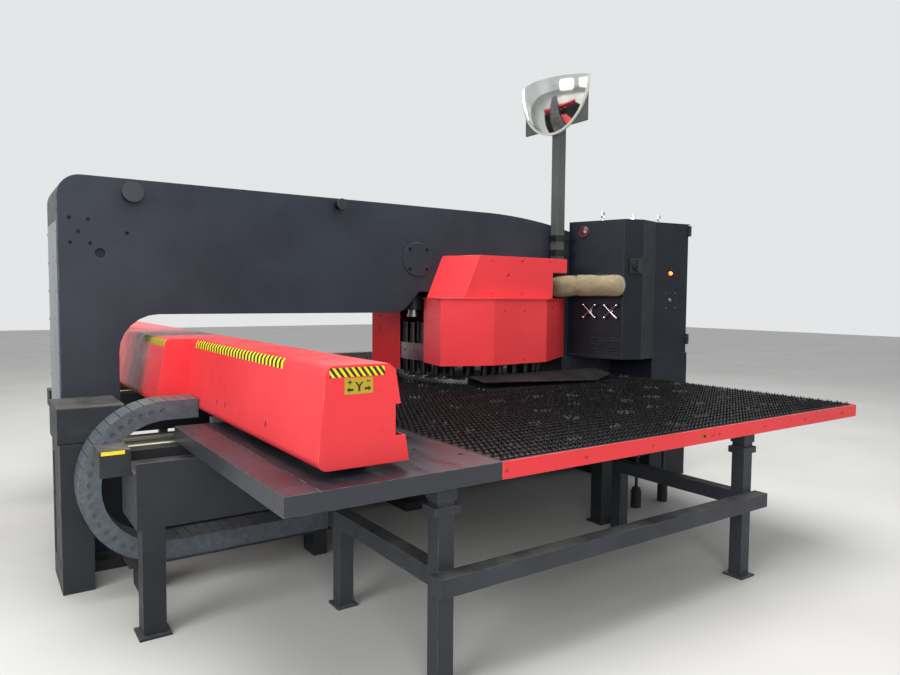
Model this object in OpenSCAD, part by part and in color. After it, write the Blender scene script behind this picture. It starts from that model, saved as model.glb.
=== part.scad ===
/* [Frame] */
// Length of the closed bridge frame along X
frame_len = 4600; // [4400:10:4900]
// Thickness of the frame along Y
frame_w = 570; // [480:5:620]
// Height of the frame top above the floor
frame_h = 2217; // [2150:1:2400]
// Height of the sole plates under the frame
sole_h = 60; // [40:1:80]
// Length of each sole plate along X
sole_len = 300; // [200:10:400]
// Amount by which a sole plate stands out past each frame side
sole_out = 145; // [60:5:200]
// Width of the left frame column
left_column = 300; // [240:5:340]
// Width of the right frame column
right_column = 800; // [740:5:830]
// Height of the lower frame beam above the floor
lower_top = 620; // [560:5:650]
// Height of the underside of the upper beam
beam_under = 1435; // [1400:5:1460]
// Height of the frame ceiling over the turret
turret_ceiling = 1590; // [1570:1:1640]
// Length of the flat part of the frame top to the right of the centre
flat_len = 643; // [500:1:800]
// Radius of the long arc at the right of the frame top
top_arc = 4400; // [4200:10:6000]
// Radius of the top left corner of the frame
top_corner = 120; // [60:5:200]
// Radius of the throat's rear upper corner
throat_corner = 220; // [120:5:260]

/* [Turret] */
// Distance from the right column to the turret axis
turret_reach = 770; // [740:5:800]
// Radius of both turret discs
turret_r = 600; // [580:1:610]
// Thickness of the upper turret disc
upper_disc_h = 130; // [100:1:160]
// Thickness of the lower turret disc
lower_disc_h = 140; // [100:1:170]
// Height of the lower turret's top face
die_line = 930; // [926:1:940]
// Gap between the turret discs
turret_gap = 130; // [110:1:140]
// Number of outer stations
outer_count = 28; // [16:1:30]
// Radius of the outer station circle
outer_pitch = 560; // [545:1:564]
// Radius of an outer punch guide
outer_guide = 26; // [16:1:30]
// Number of inner stations
inner_count = 14; // [8:1:16]
// Radius of the inner station circle
inner_pitch = 440; // [430:1:450]
// Radius of an inner punch guide
inner_guide = 44; // [30:1:50]
// Length of a punch guide above the upper disc
guide_up = 110; // [80:1:130]
// Length of a punch head above its guide
head_up = 50; // [30:1:60]
// Radius of the turret pivots
pivot_r = 90; // [70:1:110]
// Radial clearance of a running pivot
run_clear = 0.05; // [0.02:0.01:0.09]
// Stroke of the striker
striker_stroke = 40; // [20:1:42]
// Radius of the striker
striker_r = 45; // [30:1:55]

/* [Turret cover] */
// Height of the lower turret cover's bottom edge
cover_low = 1050; // [1040:1:1060]
// Distance from the frame's ceiling down to the lower turret cover's top
cover_drop = 45; // [20:1:80]
// Height of the upper turret cover above the lower one
upper_cover_h = 315; // [270:1:330]
// Sheet thickness of the covers
sheet_t = 4; // [3:0.5:6]
// Depth of the upper turret cover in front of the frame
upper_cover_depth = 305; // [280:1:320]
// Amount by which the top sheet stands out as a lip
cover_lip = 12; // [6:1:18]
// Distance from the turret axis to the upper cover's right end
upper_cover_reach = 515; // [480:5:540]
// Length of the notch at the upper near cover's lower right
cover_notch = 150; // [100:5:200]
// Height of the rear cover's bottom edge
rear_low = 965; // [960:1:1050]

/* [Work tables] */
// Height of the table tops without their brushes
table_z = 900; // [896:1:904]
// Overall width of the machine along Y
table_span = 5120; // [4900:10:5300]
// Half width of the fixed centre table
centre_half = 1035; // [1020:1:1036]
// Right edge of the tables
table_right = 1845; // [1700:5:1850]
// Thickness of a table top sheet
table_t = 20; // [12:1:24]
// Height of the rim below a table top
rim_h = 72; // [60:1:72]
// Height of the tuft bases above the table top
tuft_base = 4; // [3:1:10]
// Distance between two rows of tufts
tuft_pitch = 60; // [40:5:80]
// Thickness of the red strip along the outer table edge
strip_t = 8; // [5:1:12]
// Thickness of the solid slide plate beside the carriage
plate_t = 72; // [60:1:72]
// Width of the lighter border of a slide plate
plate_border = 130; // [100:1:160]

/* [Carriage] */
// Distance from the throat's left edge to the carriage centre line
carriage_rest = 460; // [455:1:480]
// Width of the carriage beam
beam_w = 200; // [160:1:220]
// Height of the carriage beam
beam_h = 240; // [200:1:250]
// Distance from each end of the side covers to the beam's end
beam_inset = 60; // [30:5:120]
// Half width of the raised middle cover
middle_half = 620; // [560:1:640]
// Distance from the outer table edge to the side cover's end
cover_inset = 120; // [110:1:180]
// Height of the cover tops
carriage_top = 1305; // [1280:1:1320]
// Height of the side covers' bottom edge
carriage_low = 930; // [926:1:940]
// Radius of the folds along the covers
fold_r = 35; // [20:1:40]
// Height of the clamp slot in the covers
slot_h = 120; // [110:1:130]
// Height of the clamp slot's lower edge
slot_z = 1030; // [1025:1:1035]
// Length of the clamp slide along Y
clamp_slide_len = 1000; // [900:10:1200]
// Distance between the two sheet clamps
clamp_pitch = 800; // [600:10:860]
// Radius of the clamp pins
clamp_pin = 8; // [5:1:10]

/* [Side beds] */
// Distance from the frame's centre plane to the inner side of a bed
bed_in = 1045; // [1042:1:1048]
// Distance from the frame's centre plane to the outer side of a bed
bed_out = 1400; // [1350:5:1440]
// Height of the bed beam's top
bed_top = 750; // [740:1:760]
// Height of the bed beam
bed_h = 250; // [200:5:260]
// Right end of the beds
bed_right = 928; // [900:1:960]
// Width of a guide rail
rail_w = 40; // [36:1:42]
// Height of the guide rail's top
rail_top = 860; // [856:1:862]

/* [Stands] */
// Side of the square stand tube
tube = 75; // [60:1:90]
// Distance from the outer table edge to the stand's outer legs
stand_inset = 120; // [95:5:160]
// Distance from the machine's centre plane to the stand's inner legs
stand_in = 1560; // [1520:5:1600]
// Position of the left legs along X
leg_left = -1192; // [-1240:1:-1150]
// Position of the right legs along X
leg_right = 828; // [780:1:860]
// Height of the stand rails' lower edge
rail_z = 405; // [380:1:440]

/* [Cable carrier] */
// Outer radius of the cable carrier's bend
chain_r = 420; // [400:1:420]
// Height of the carrier's links
chain_h = 100; // [80:1:110]
// Width of the carrier along Y
chain_w = 200; // [160:1:200]
// Length of the lower run
chain_run = 900; // [600:10:950]
// Number of links round the bend
chain_links = 22; // [16:1:26]

/* [Cabinets] */
// Height of both cabinets' tops
cabinet_h = 2200; // [2150:1:2300]
// Height of the hanging cabinet's bottom
hang_z = 1045; // [1040:1:1060]
// Height of the overhang above the recessed panel
overhang_z = 1740; // [1720:1:1770]
// Depth of the recess under the overhang
recess = 45; // [35:1:55]
// Number of louvres in the recessed panel
louvres = 6; // [4:1:8]
// Width of the tall cabinet's front
tall_w = 395; // [380:1:420]
// Thickness of the cabinet door
door_t = 25; // [18:1:30]
// Height of the door's lower edge
door_low = 1080; // [1060:1:1100]
// Radius of the door's hinge pins
door_pin = 7; // [5:1:9]
// Radius of the padded roll
roll_r = 90; // [80:1:94]
// Radius of the cable entry in the gland
gland_bore = 13; // [8:1:15]
// Side of the square mirror post
post_w = 80; // [70:1:90]
// Height of the mirror post's top
post_top = 3160; // [3000:5:3200]
// Radius of the half-dome mirror's rim
mirror_r = 395; // [360:1:400]
// Depth of the mirror's bulge
mirror_bulge = 200; // [150:1:240]

/* [Hidden] */
$fn = 64;
// gap left between two pieces that move or are only set beside each other
gap = 0.3;
// overlap of two shapes that are fused into one solid
eps = 1;
frame_l = -frame_len / 2;
frame_r = frame_len / 2;
side = frame_w / 2;
throat_l = frame_l + left_column;
throat_r = frame_r - right_column;
turret_x = throat_r - turret_reach;
punch_x = turret_x - outer_pitch;
upper_z = die_line + turret_gap;
upper_top = upper_z + upper_disc_h;
lower_z = die_line - lower_disc_h;
head_z = upper_top + guide_up + head_up;
half_span = table_span / 2;
cover_mid = turret_ceiling - cover_drop;
cover_top = cover_mid + upper_cover_h;
side_cover_len = half_span - cover_inset - middle_half;
beam_len = 2 * (half_span - cover_inset - beam_inset);
stand_out = half_span - stand_inset;
carriage_x = throat_l + carriage_rest;
beam_z = carriage_low + 30;
plate_l = carriage_x - 345;
plate_r = carriage_x + 560;
slot_x = carriage_x + 140;
clamp_x = carriage_x + beam_w / 2;
rail_y = bed_in + rail_w / 2;
chain_x = throat_l + 130;
chain_z = 160 + chain_r;
chain_y = -890;
tall_x = frame_r - 200;
tall_y = -side - 471;
hang_x = throat_r + 60;
hang_front = -side - 475;
hang_turn = atan2(-475, 160);
hang_len = norm([160, 475]);
chamfer_turn = atan2(-60, 160);
tall_turn = atan2(-59, 391);
mirror_z = post_top + 140;
// place of the rotary main switch on the chamfered face
switch_u = 105;
switch_z = 1819;
// distance from the carriage centre line to the side covers' left edge
cover_left = 175;
// centre of the square mirror post
post_x = throat_r - 120;
post_y = -side - 5 - post_w / 2;
// hinge line of the sheet clamps' jaws
jaw_x = clamp_x + 205;
jaw_z = die_line + 40;
ramp_y = turret_r + 20;
foot_z = table_z + tuft_base;

// direction of a vector
function unit(v) = v / norm(v);
// left-hand normal of the line from p to q
function leftward(p, q) =
    let (u = unit(q - p)) [-u.y, u.x];
// points of an arc that rounds corner p1 between p0 and p2
function corner(p0, p1, p2, r, n) =
    r <= 0 ? [p1] :
    let (a = unit(p0 - p1),
        b = unit(p2 - p1),
        half = acos(a * b) / 2,
        c = p1 + unit(a + b) * r / sin(half),
        s = p1 + a * r / tan(half) - c,
        e = p1 + b * r / tan(half) - c,
        start = atan2(s.y, s.x),
        turn = atan2(e.y, e.x) - start,
        sweep = turn > 180 ? turn - 360 : turn < -180 ? turn + 360 : turn)
    [for (i = [0 : n])
        c + r * [cos(start + sweep * i / n), sin(start + sweep * i / n)]];
// polygon with each corner rounded to its own radius
function rounded(points, radii, n = 6) =
    let (k = len(points))
    [for (i = [0 : k - 1])
        each corner(points[(i + k - 1) % k], points[i], points[(i + 1) % k], radii[i], n)];
// polygon whose sides are moved inwards, each by its own wall
function inset(points, walls) =
    let (k = len(points))
    [for (i = [0 : k - 1])
        let (p = points[(i + k - 1) % k],
            q = points[i],
            a = leftward(p, q),
            b = leftward(q, points[(i + 1) % k]),
            s = walls[(i + k - 1) % k],
            t = walls[i],
            det = a.x * b.y - a.y * b.x)
        q + [(s * b.y - t * a.y) / det, (a.x * t - b.x * s) / det]];

// a profile drawn in X and Z, drawn out along Y
module along_y(y0, y1) {
    translate([0, y1, 0])
        rotate([90, 0, 0])
            linear_extrude(y1 - y0)
                children();
}

// a profile drawn in Y and Z, drawn out along X
module along_x(x0, x1) {
    translate([x0, 0, 0])
        rotate([90, 0, 90])
            linear_extrude(x1 - x0)
                children();
}

// a box between two opposite corners
module box(a, b) {
    translate([min(a.x, b.x), min(a.y, b.y), min(a.z, b.z)])
        cube([abs(b.x - a.x), abs(b.y - a.y), abs(b.z - a.z)]);
}

// an upright cylinder between two heights
module post(x, y, r, z0, z1) {
    translate([x, y, z0])
        cylinder(r = r, h = z1 - z0);
}

// the shape and its mirror image on the far side
module both_sides() {
    children();
    mirror([0, 1, 0])
        children();
}

// places a face drawn in X and Z on a cabinet face
module on_face(x, y, turn) {
    translate([x, y, 0])
        rotate([0, 0, turn])
            children();
}

// frame
function top_line(x) = frame_h - top_arc + sqrt(pow(top_arc, 2) - pow(x - flat_len, 2));

function frame_outline() =
    let (n = 24, cx = frame_l + top_corner, cz = frame_h - top_corner)
    concat(
        [[frame_l, sole_h], [frame_r, sole_h]],
        [for (i = [0 : n])
            let (x = frame_r - (frame_r - flat_len) * i / n) [x, top_line(x)]],
        [for (i = [0 : 8])
            [cx + top_corner * cos(90 + i * 90 / 8), cz + top_corner * sin(90 + i * 90 / 8)]]);

function throat_outline() =
    rounded(
        [[throat_l, lower_top], [throat_r, lower_top], [throat_r, turret_ceiling],
            [turret_x - 690, turret_ceiling], [turret_x - 830, beam_under],
            [throat_l, beam_under]],
        [60, 60, 60, 40, 150, throat_corner]);

module frame() {
    color("#333a42")
        difference() {
            along_y(-side, side)
                difference() {
                    polygon(frame_outline());
                    polygon(throat_outline());
                }
            for (s = [-1, 1])
                translate([frame_l + 211, s * side, frame_h - 434])
                    rotate([90, 0, 0])
                        cylinder(r = 28, h = 80, center = true);
        }
}

module sole_plates() {
    color("#2b3036")
        for (x = [frame_l + 250, 0, frame_r - 350])
            box([x - sole_len / 2, -side - sole_out, 0], [x + sole_len / 2, side + sole_out, sole_h]);
}

module frame_end_cover() {
    color("#8d9298")
        along_x(frame_l - sheet_t, frame_l)
            polygon(rounded(
                [[-side + 45, 160], [side - 45, 160], [side - 45, frame_h - 260], [-side + 45, frame_h - 260]],
                [10, 10, 10, 10]));
}

module lifting_stub(x, z, r, out) {
    translate([x, -side, z])
        rotate([90, 0, 0]) {
            cylinder(r = r, h = out);
            translate([0, 0, out - 14])
                cylinder(r = r * 1.16, h = 14);
        }
}

module lifting_stubs() {
    color("#23272c")
        both_sides() {
            lifting_stub(frame_l + 375, frame_h - 82, 50, 85);
            lifting_stub(frame_l + 1688, frame_h - 42, 32, 60);
        }
}

module access_disc() {
    color("#2f363e")
        translate([28, -side, 1826])
            rotate([90, 0, 0])
                cylinder(r = 125, h = 8);
}

// turret
function stations(count, pitch) =
    [for (i = [0 : count - 1])
        [turret_x + pitch * cos(180 + i * 360 / count), pitch * sin(180 + i * 360 / count)]];

module ram_housing() {
    color("#3c434b")
        translate([punch_x, 0, 0])
            difference() {
                union() {
                    post(0, 0, 80, turret_ceiling - 140, turret_ceiling);
                    post(0, 0, 100, turret_ceiling - 30, turret_ceiling);
                }
                post(0, 0, striker_r + run_clear, turret_ceiling - 141, turret_ceiling - 5);
            }
}

module striker() {
    color("#c3c8cc")
        translate([punch_x, 0, 0]) {
            post(0, 0, striker_r, head_z + striker_stroke + 5, turret_ceiling - 20);
            post(0, 0, striker_r + 8, head_z + striker_stroke + 5, head_z + striker_stroke + 25);
        }
}

module upper_pivot() {
    color("#4a5159")
        translate([turret_x, 0, 0]) {
            post(0, 0, pivot_r * 2.6, turret_ceiling - 30, turret_ceiling);
            post(0, 0, pivot_r, upper_z - 20, turret_ceiling - 30 + eps);
            post(0, 0, pivot_r * 1.5, upper_z - 20, upper_z - gap);
        }
}

module upper_turret() {
    color("#9aa0a4")
        difference() {
            translate([turret_x, 0, 0]) {
                post(0, 0, turret_r, upper_z, upper_top);
                post(0, 0, pivot_r * 1.9, upper_top - eps, upper_top + 60);
            }
            post(turret_x, 0, pivot_r + run_clear, upper_z - 1, upper_top + 61);
            for (p = stations(outer_count, outer_pitch))
                post(p.x, p.y, outer_guide + gap / 3, upper_z - 1, upper_top + 1);
            for (p = stations(inner_count, inner_pitch))
                post(p.x, p.y, inner_guide + gap / 3, upper_z - 1, upper_top + 1);
            for (i = [0 : outer_count - 1])
                translate([turret_x, 0, upper_z + upper_disc_h * 0.55])
                    rotate([0, 90, (i + 0.5) * 360 / outer_count])
                        translate([0, 0, turret_r - 16])
                            cylinder(r = 11, h = 20);
        }
}

module punch(r) {
    post(0, 0, r, die_line + 25, upper_top + guide_up);
    post(0, 0, r * 1.18, upper_top, upper_top + 16);
    post(0, 0, r * 0.8, upper_top + guide_up - eps, head_z - 12);
    post(0, 0, r, head_z - 12, head_z);
}

module punch_set() {
    color("#2c2f33") {
        for (p = stations(outer_count, outer_pitch))
            translate([p.x, p.y, 0])
                punch(outer_guide);
        for (p = stations(inner_count, inner_pitch))
            translate([p.x, p.y, 0])
                punch(inner_guide);
    }
}

module lower_pivot() {
    color("#4a5159")
        translate([turret_x, 0, 0]) {
            post(0, 0, pivot_r * 2.8, lower_top, lower_top + 30);
            post(0, 0, pivot_r * 1.7, lower_top + 30 - eps, lower_z - gap);
            post(0, 0, pivot_r, lower_z - gap - eps, die_line - 5);
        }
}

module lower_turret() {
    color("#8f959a")
        difference() {
            post(turret_x, 0, turret_r, lower_z, die_line);
            post(turret_x, 0, pivot_r + run_clear, lower_z - 1, die_line + 1);
            for (p = stations(outer_count, outer_pitch)) {
                post(p.x, p.y, outer_guide * 1.3 + gap / 3, die_line - 30, die_line + 1);
                post(p.x, p.y, outer_guide * 0.8, lower_z - 1, die_line);
            }
            for (p = stations(inner_count, inner_pitch)) {
                post(p.x, p.y, inner_guide * 1.3 + gap / 3, die_line - 30, die_line + 1);
                post(p.x, p.y, inner_guide * 0.8, lower_z - 1, die_line);
            }
        }
}

module die(r) {
    difference() {
        post(0, 0, r * 1.3, die_line - 30, die_line + 2);
        post(0, 0, r * 0.6, die_line - 31, die_line + 3);
    }
}

module die_set() {
    color("#b9bdc0") {
        for (p = stations(outer_count, outer_pitch))
            translate([p.x, p.y, 0])
                die(outer_guide);
        for (p = stations(inner_count, inner_pitch))
            translate([p.x, p.y, 0])
                die(inner_guide);
    }
}

// turret covers
function cover_plan() =
    [[turret_x - 580, -180], [turret_x - 650, -520], [turret_x - 273, -660],
        [turret_x + 270, -630], [throat_r - 5, -side - 20], [throat_r - 5, -180]];

module cover_lower_shell(low) {
    difference() {
        translate([0, 0, low])
            linear_extrude(cover_mid - low)
                polygon(cover_plan());
        translate([0, 0, low - 1])
            linear_extrude(cover_mid - low - sheet_t + 1)
                polygon(inset(cover_plan(), [sheet_t, sheet_t, sheet_t, sheet_t, sheet_t, -20]));
    }
    translate([0, 0, cover_mid - 2 * sheet_t])
        linear_extrude(2 * sheet_t)
            polygon(inset(cover_plan(), [-cover_lip, -cover_lip, -cover_lip, -cover_lip, 0, 0]));
}

module cover_upper_block() {
    back_low = turret_x - 620;
    right = turret_x + upper_cover_reach;
    sweep = 126;
    slant = 138;
    front = -side - upper_cover_depth;
    h = cover_top - cover_mid;
    n = cross([sweep, front + side, 0], [slant, 0, h]);
    difference() {
        along_y(front, -side)
            polygon(rounded(
                [[back_low, cover_mid], [right, cover_mid], [right, cover_top],
                    [back_low, cover_top]],
                [0, 0, 6, 0]));
        translate([back_low, -side, cover_mid])
            rotate([0, -asin(n.z / norm(n)), atan2(n.y, n.x)])
                translate([0, -1000, -1000])
                    cube([1000, 2000, 2000]);
    }
}

module turret_cover_lower() {
    color("#d8383c")
        difference() {
            cover_lower_shell(cover_low);
            translate([turret_x + 415, -470, cover_mid - 80])
                rotate([90, 0, 33])
                    cylinder(r = 16, h = 120, center = true);
        }
}

module turret_cover_upper() {
    right = turret_x + upper_cover_reach;
    color("#d8383c")
        difference() {
            cover_upper_block();
            box([right - cover_notch, -side - upper_cover_depth - 1, cover_mid - 1],
                [right + 1, -side + 1, cover_mid + 205]);
            translate([turret_x - 85, -side - upper_cover_depth, cover_mid + 167])
                rotate([90, 0, 0])
                    cylinder(r = 16, h = 24, center = true);
        }
}

module rear_cover() {
    color("#b8303a")
        mirror([0, 1, 0]) {
            cover_lower_shell(rear_low);
            cover_upper_block();
        }
}

// centre table
module tuft_rows(x0, x1, y0, y1) {
    for (y = [y0 + tuft_pitch / 2 : tuft_pitch : y1 - 10])
        box([x0, y - 8, table_z - eps], [x1, y + 8, table_z + tuft_base]);
}

module centre_table() {
    left = carriage_x + 240;
    color("#16181b")
        difference() {
            union() {
                box([left, -centre_half, table_z - table_t], [table_right, centre_half, table_z]);
                tuft_rows(left + 20, table_right - 20, -centre_half, centre_half);
                for (x = [left + 300, left + 1200])
                    box([x - 40, -centre_half + 10, table_z - table_t - 60],
                        [x + 40, centre_half - 10, table_z - table_t + eps]);
                for (x = [left + 300, left + 1200], y = [-side + 60, side - 60])
                    box([x - 40, y - 40, lower_top], [x + 40, y + 40, table_z - table_t]);
                for (s = [-1, 1])
                    box([throat_r + 150, s * side, table_z - table_t - 60],
                        [throat_r + 230, s * (centre_half - 10), table_z - table_t + eps]);
            }
            post(turret_x, 0, turret_r + 12, table_z - table_t - 1, table_z + 20);
            box([turret_x, -side, table_z - table_t - 70], [table_right + 10, side, table_z + 20]);
        }
}

module sheet_ramp() {
    color("#1e2226")
        intersection() {
            along_x(turret_x - 520, turret_x + 820)
                polygon([[-ramp_y, foot_z], [-ramp_y, foot_z + 72], [-ramp_y - 8, foot_z + 72],
                    [-ramp_y - 310, foot_z + 22], [-ramp_y - 310, foot_z + 16], [-ramp_y - 8, foot_z + 66],
                    [-ramp_y - 6, foot_z + 6], [-ramp_y - 44, foot_z + 6], [-ramp_y - 44, foot_z]]);
            translate([0, 0, table_z])
                linear_extrude(200)
                    polygon(rounded(
                        [[turret_x - 480, -ramp_y], [turret_x - 450, -ramp_y - 160],
                            [turret_x + 520, -ramp_y - 310],
                            [turret_x + 817, -ramp_y - 180], [turret_x + 817, -ramp_y]],
                        [0, 20, 60, 60, 0]));
        }
}

// cabinets
function hang_plan() =
    [[hang_x, -side], [hang_x + 160, hang_front], [hang_x + 320, hang_front - 60],
        [tall_x - gap, hang_front - 10], [tall_x - gap, -side]];

module hanging_cabinet() {
    color("#262c36")
        difference() {
            translate([0, 0, hang_z])
                linear_extrude(cabinet_h - hang_z)
                    polygon(rounded(hang_plan(), [0, 10, 10, 0, 0]));
            on_face(hang_x, -side, hang_turn)
                box([20, -1, hang_z + 25], [hang_len - 22, recess, overhang_z]);
        }
}

module louver_panel() {
    color("#23262e")
        on_face(hang_x, -side, hang_turn)
            difference() {
                box([20 + gap, recess - 20, hang_z + 25 + gap],
                    [hang_len - 22 - gap, recess, overhang_z - gap]);
                for (i = [0 : louvres - 1])
                    translate([0, recess - 20, hang_z + 60 + i * 24])
                        rotate([25, 0, 0])
                            box([200, -6, -3], [hang_len - 45, 4, 3]);
            }
}

module cross_handle(u, z) {
    on_face(hang_x, -side, hang_turn)
        translate([u, recess - 20 - gap, z])
            rotate([90, 0, 0]) {
                cylinder(r = 20, h = 30);
                cylinder(r = 12, h = 46);
                for (i = [0 : 3])
                    rotate([0, 0, 45 + 90 * i])
                        translate([0, 0, 46])
                            rotate([90, 0, 0]) {
                                cylinder(r = 7, h = 76);
                                translate([0, 0, 74])
                                    sphere(r = 13);
                            }
            }
}

module cross_handle_a() {
    color("#d6d9dc")
        cross_handle(207, 1442);
}

module cross_handle_b() {
    color("#d6d9dc")
        cross_handle(396, 1442);
}

// a bar with domed ends from one point to another
module roll(from, to, r) {
    d = to - from;
    translate(from)
        rotate([0, acos(d.z / norm(d)), atan2(d.y, d.x)])
            rotate_extrude() {
                square([r, norm(d)]);
                intersection() {
                    union() {
                        circle(r = r, $fn = 48);
                        translate([0, norm(d)])
                            circle(r = r, $fn = 48);
                    }
                    translate([0, -r])
                        square([r, norm(d) + 2 * r]);
                }
            }
}

module bump_pad() {
    inner = [122, -roll_r - gap, 1658];
    right_end = [hang_len - 45, -roll_r - gap, 1655];
    left_end = [30, -roll_r - 120, 1645];
    color("#a09473")
        on_face(hang_x, -side, hang_turn)
            union() {
                roll(inner, right_end, roll_r);
                roll(inner, left_end, roll_r - 3);
            }
}

module tall_cabinet() {
    color("#232a33")
        difference() {
            linear_extrude(cabinet_h)
                polygon([[tall_x, -side], [tall_x, tall_y],
                    [tall_x + 391, tall_y - 59], [tall_x + 391, -side]]);
            on_face(tall_x, tall_y, tall_turn)
                box([8, -1, door_low - gap], [tall_w + 20, door_t + gap, cabinet_h - 8]);
        }
}

module cabinet_door() {
    color("#232a33")
        on_face(tall_x, tall_y, tall_turn)
            difference() {
                union() {
                    box([10, 0, door_low], [tall_w - 16, door_t, cabinet_h - 10]);
                    for (z = [door_low + 120, cabinet_h - 60])
                        translate([tall_w - 4, -8, z])
                            cylinder(r = 11, h = 45, center = true);
                    for (z = [door_low + 120, cabinet_h - 60])
                        box([tall_w - 30, -8, z - 22.5], [tall_w - 4, 4, z + 22.5]);
                }
                for (z = [door_low + 120, cabinet_h - 60])
                    translate([tall_w - 4, -8, z])
                        cylinder(r = door_pin + run_clear, h = 60, center = true);
                box([131, -1, 1463], [249, 3, 1609]);
            }
}

module door_hinges() {
    color("#15181c")
        on_face(tall_x, tall_y, tall_turn)
            for (z = [door_low + 120, cabinet_h - 60]) {
                translate([tall_w - 4, -8, z])
                    cylinder(r = door_pin, h = 90, center = true);
                for (s = [-1, 1])
                    translate([tall_w - 4, -8, z + s * 34.5]) {
                        cylinder(r = 11, h = 21, center = true);
                        translate([-5, 0, -10.5])
                            cube([10, 8 + door_t + gap, 21]);
                    }
            }
}

module power_lamp() {
    color("#f2a25a")
        on_face(tall_x, tall_y, tall_turn)
            translate([181, 0, 1769])
                rotate([90, 0, 0]) {
                    cylinder(r = 17, h = 8);
                    cylinder(r = 12, h = 20);
                }
}

module lift_eye(x, y) {
    translate([x, y, cabinet_h]) {
        cylinder(r = 22, h = 10);
        cylinder(r = 9, h = 26);
        translate([0, 0, 50])
            rotate([90, 0, 20])
                rotate_extrude()
                    translate([27, 0])
                        circle(r = 7);
    }
}

module lift_eyes() {
    color("#d9dde0") {
        lift_eye(hang_x + 163, -side - 232);
        lift_eye(tall_x + 191, -side - 355);
    }
}

module switch_base() {
    color("#17191d")
        on_face(hang_x + 160, hang_front, chamfer_turn)
            translate([switch_u, 0, switch_z])
                rotate([90, 0, 0]) {
                    translate([-58, -62, 0])
                        cube([116, 124, 18]);
                    cylinder(r = 40, h = 34);
                }
}

module switch_handle() {
    color("#101215")
        on_face(hang_x + 160, hang_front, chamfer_turn)
            translate([switch_u, -34 - gap, switch_z])
                rotate([90, 0, 0]) {
                    cylinder(r = 30, h = 14);
                    translate([0, 0, 13])
                        linear_extrude(26)
                            polygon(rounded([[-20, -52], [20, -52], [14, 52], [-14, 52]], [12, 12, 10, 10]));
                }
}

module signal_lens() {
    color("#2a2224")
        on_face(hang_x, -side, hang_turn)
            translate([138, 0, 2111])
                rotate([90, 0, 0])
                    rotate_extrude()
                        polygon([[0, 0], [47, 0], [47, 10], [42, 16], [35, 16], [34, 10],
                            [24, 14], [0, 18]]);
}

module cable_gland() {
    color("#c9cdd0")
        translate([hang_x + 301, -side - 437, cabinet_h]) {
            difference() {
                union() {
                    cylinder(r = 30, h = 8);
                    cylinder(r = 26, h = 22, $fn = 6);
                    cylinder(r = 20, h = 42);
                }
                translate([0, 0, 10])
                    cylinder(r = gland_bore, h = 40);
            }
        }
}

// mirror on its post
module mirror_post() {
    color("#4a5148")
        difference() {
            box([post_x - post_w / 2, post_y - post_w / 2, 1760],
                [post_x + post_w / 2, post_y + post_w / 2, post_top]);
            box([post_x - post_w / 2 + 5, post_y - post_w / 2 + 5, 1759],
                [post_x + post_w / 2 - 5, post_y + post_w / 2 - 5, post_top - 5]);
        }
}

module post_clamps() {
    color("#1b1e22")
        for (z = [1930, 2050])
            difference() {
                box([post_x - post_w / 2 - 20, post_y - post_w / 2 - 8, z - 22],
                    [post_x + post_w / 2 + 55, -side, z + 22]);
                box([post_x - post_w / 2, post_y - post_w / 2, z - 23],
                    [post_x + post_w / 2, post_y + post_w / 2, z + 23]);
            }
}

module mirror_bracket() {
    face = post_x - post_w / 2;
    color("#4e544a")
        union() {
            box([face - 18, post_y - 370, mirror_z - 350], [face, post_y + 360, mirror_z - 10]);
            box([face - 8, post_y - post_w / 2 - 8, mirror_z - 300],
                [face + post_w, post_y - post_w / 2, mirror_z - 260]);
        }
}

module dome_mirror() {
    ball = (pow(mirror_r, 2) + pow(mirror_bulge, 2)) / (2 * mirror_bulge);
    color("#9aa39f")
        translate([post_x - post_w / 2 - 18, post_y - 5, mirror_z])
            rotate([0, -90, 0]) {
                difference() {
                    translate([0, 0, mirror_bulge - ball])
                        sphere(r = ball, $fn = 96);
                    translate([0, 0, mirror_bulge - ball])
                        sphere(r = ball - 5, $fn = 96);
                    translate([-600, -600, -1200])
                        cube([1200, 1200, 1200]);
                    translate([0, -600, -1])
                        cube([600, 1200, 600]);
                }
                difference() {
                    cylinder(r = mirror_r + 8, h = 16, $fn = 96);
                    translate([0, 0, -1])
                        cylinder(r = mirror_r - 12, h = 18, $fn = 96);
                    translate([0, -600, -1])
                        cube([600, 1200, 20]);
                }
            }
}

// beds and left end
module bed() {
    left = throat_l - 120;
    box([left, -bed_out, bed_top - bed_h], [bed_right, -bed_in, bed_top]);
    box([left, -rail_y - 25, bed_top - eps], [bed_right, -bed_in, rail_top - 60]);
    box([left, -bed_out, bed_top - eps], [bed_right, -bed_out + 12, bed_top + 50]);
    for (x = [left + 20, bed_right - 100])
        box([x, -bed_out, 12], [x + 100, -bed_out + 100, bed_top - bed_h + eps]);
    for (x = [left + 20, bed_right - 100])
        box([x - 20, -bed_out - 20, 0], [x + 120, -bed_out + 120, 12]);
    for (x = [left + 170, 300])
        box([x, -bed_in - eps, bed_top - bed_h], [x + 100, -side, lower_top]);
}

module bed_near() {
    color("#1d2126")
        bed();
}

module bed_far() {
    color("#1d2126")
        mirror([0, 1, 0])
            bed();
}

module guide_rails() {
    color("#8e9078")
        both_sides()
            along_x(throat_l - 120, bed_right)
                polygon([[-bed_in - rail_w, rail_top - 60], [-bed_in, rail_top - 60],
                    [-bed_in, rail_top - 40], [-bed_in - 8, rail_top - 32], [-bed_in - 8, rail_top - 22],
                    [-bed_in, rail_top - 14], [-bed_in, rail_top], [-bed_in - rail_w, rail_top],
                    [-bed_in - rail_w, rail_top - 14], [-bed_in - rail_w + 8, rail_top - 22],
                    [-bed_in - rail_w + 8, rail_top - 32], [-bed_in - rail_w, rail_top - 40]]);
}

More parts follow.
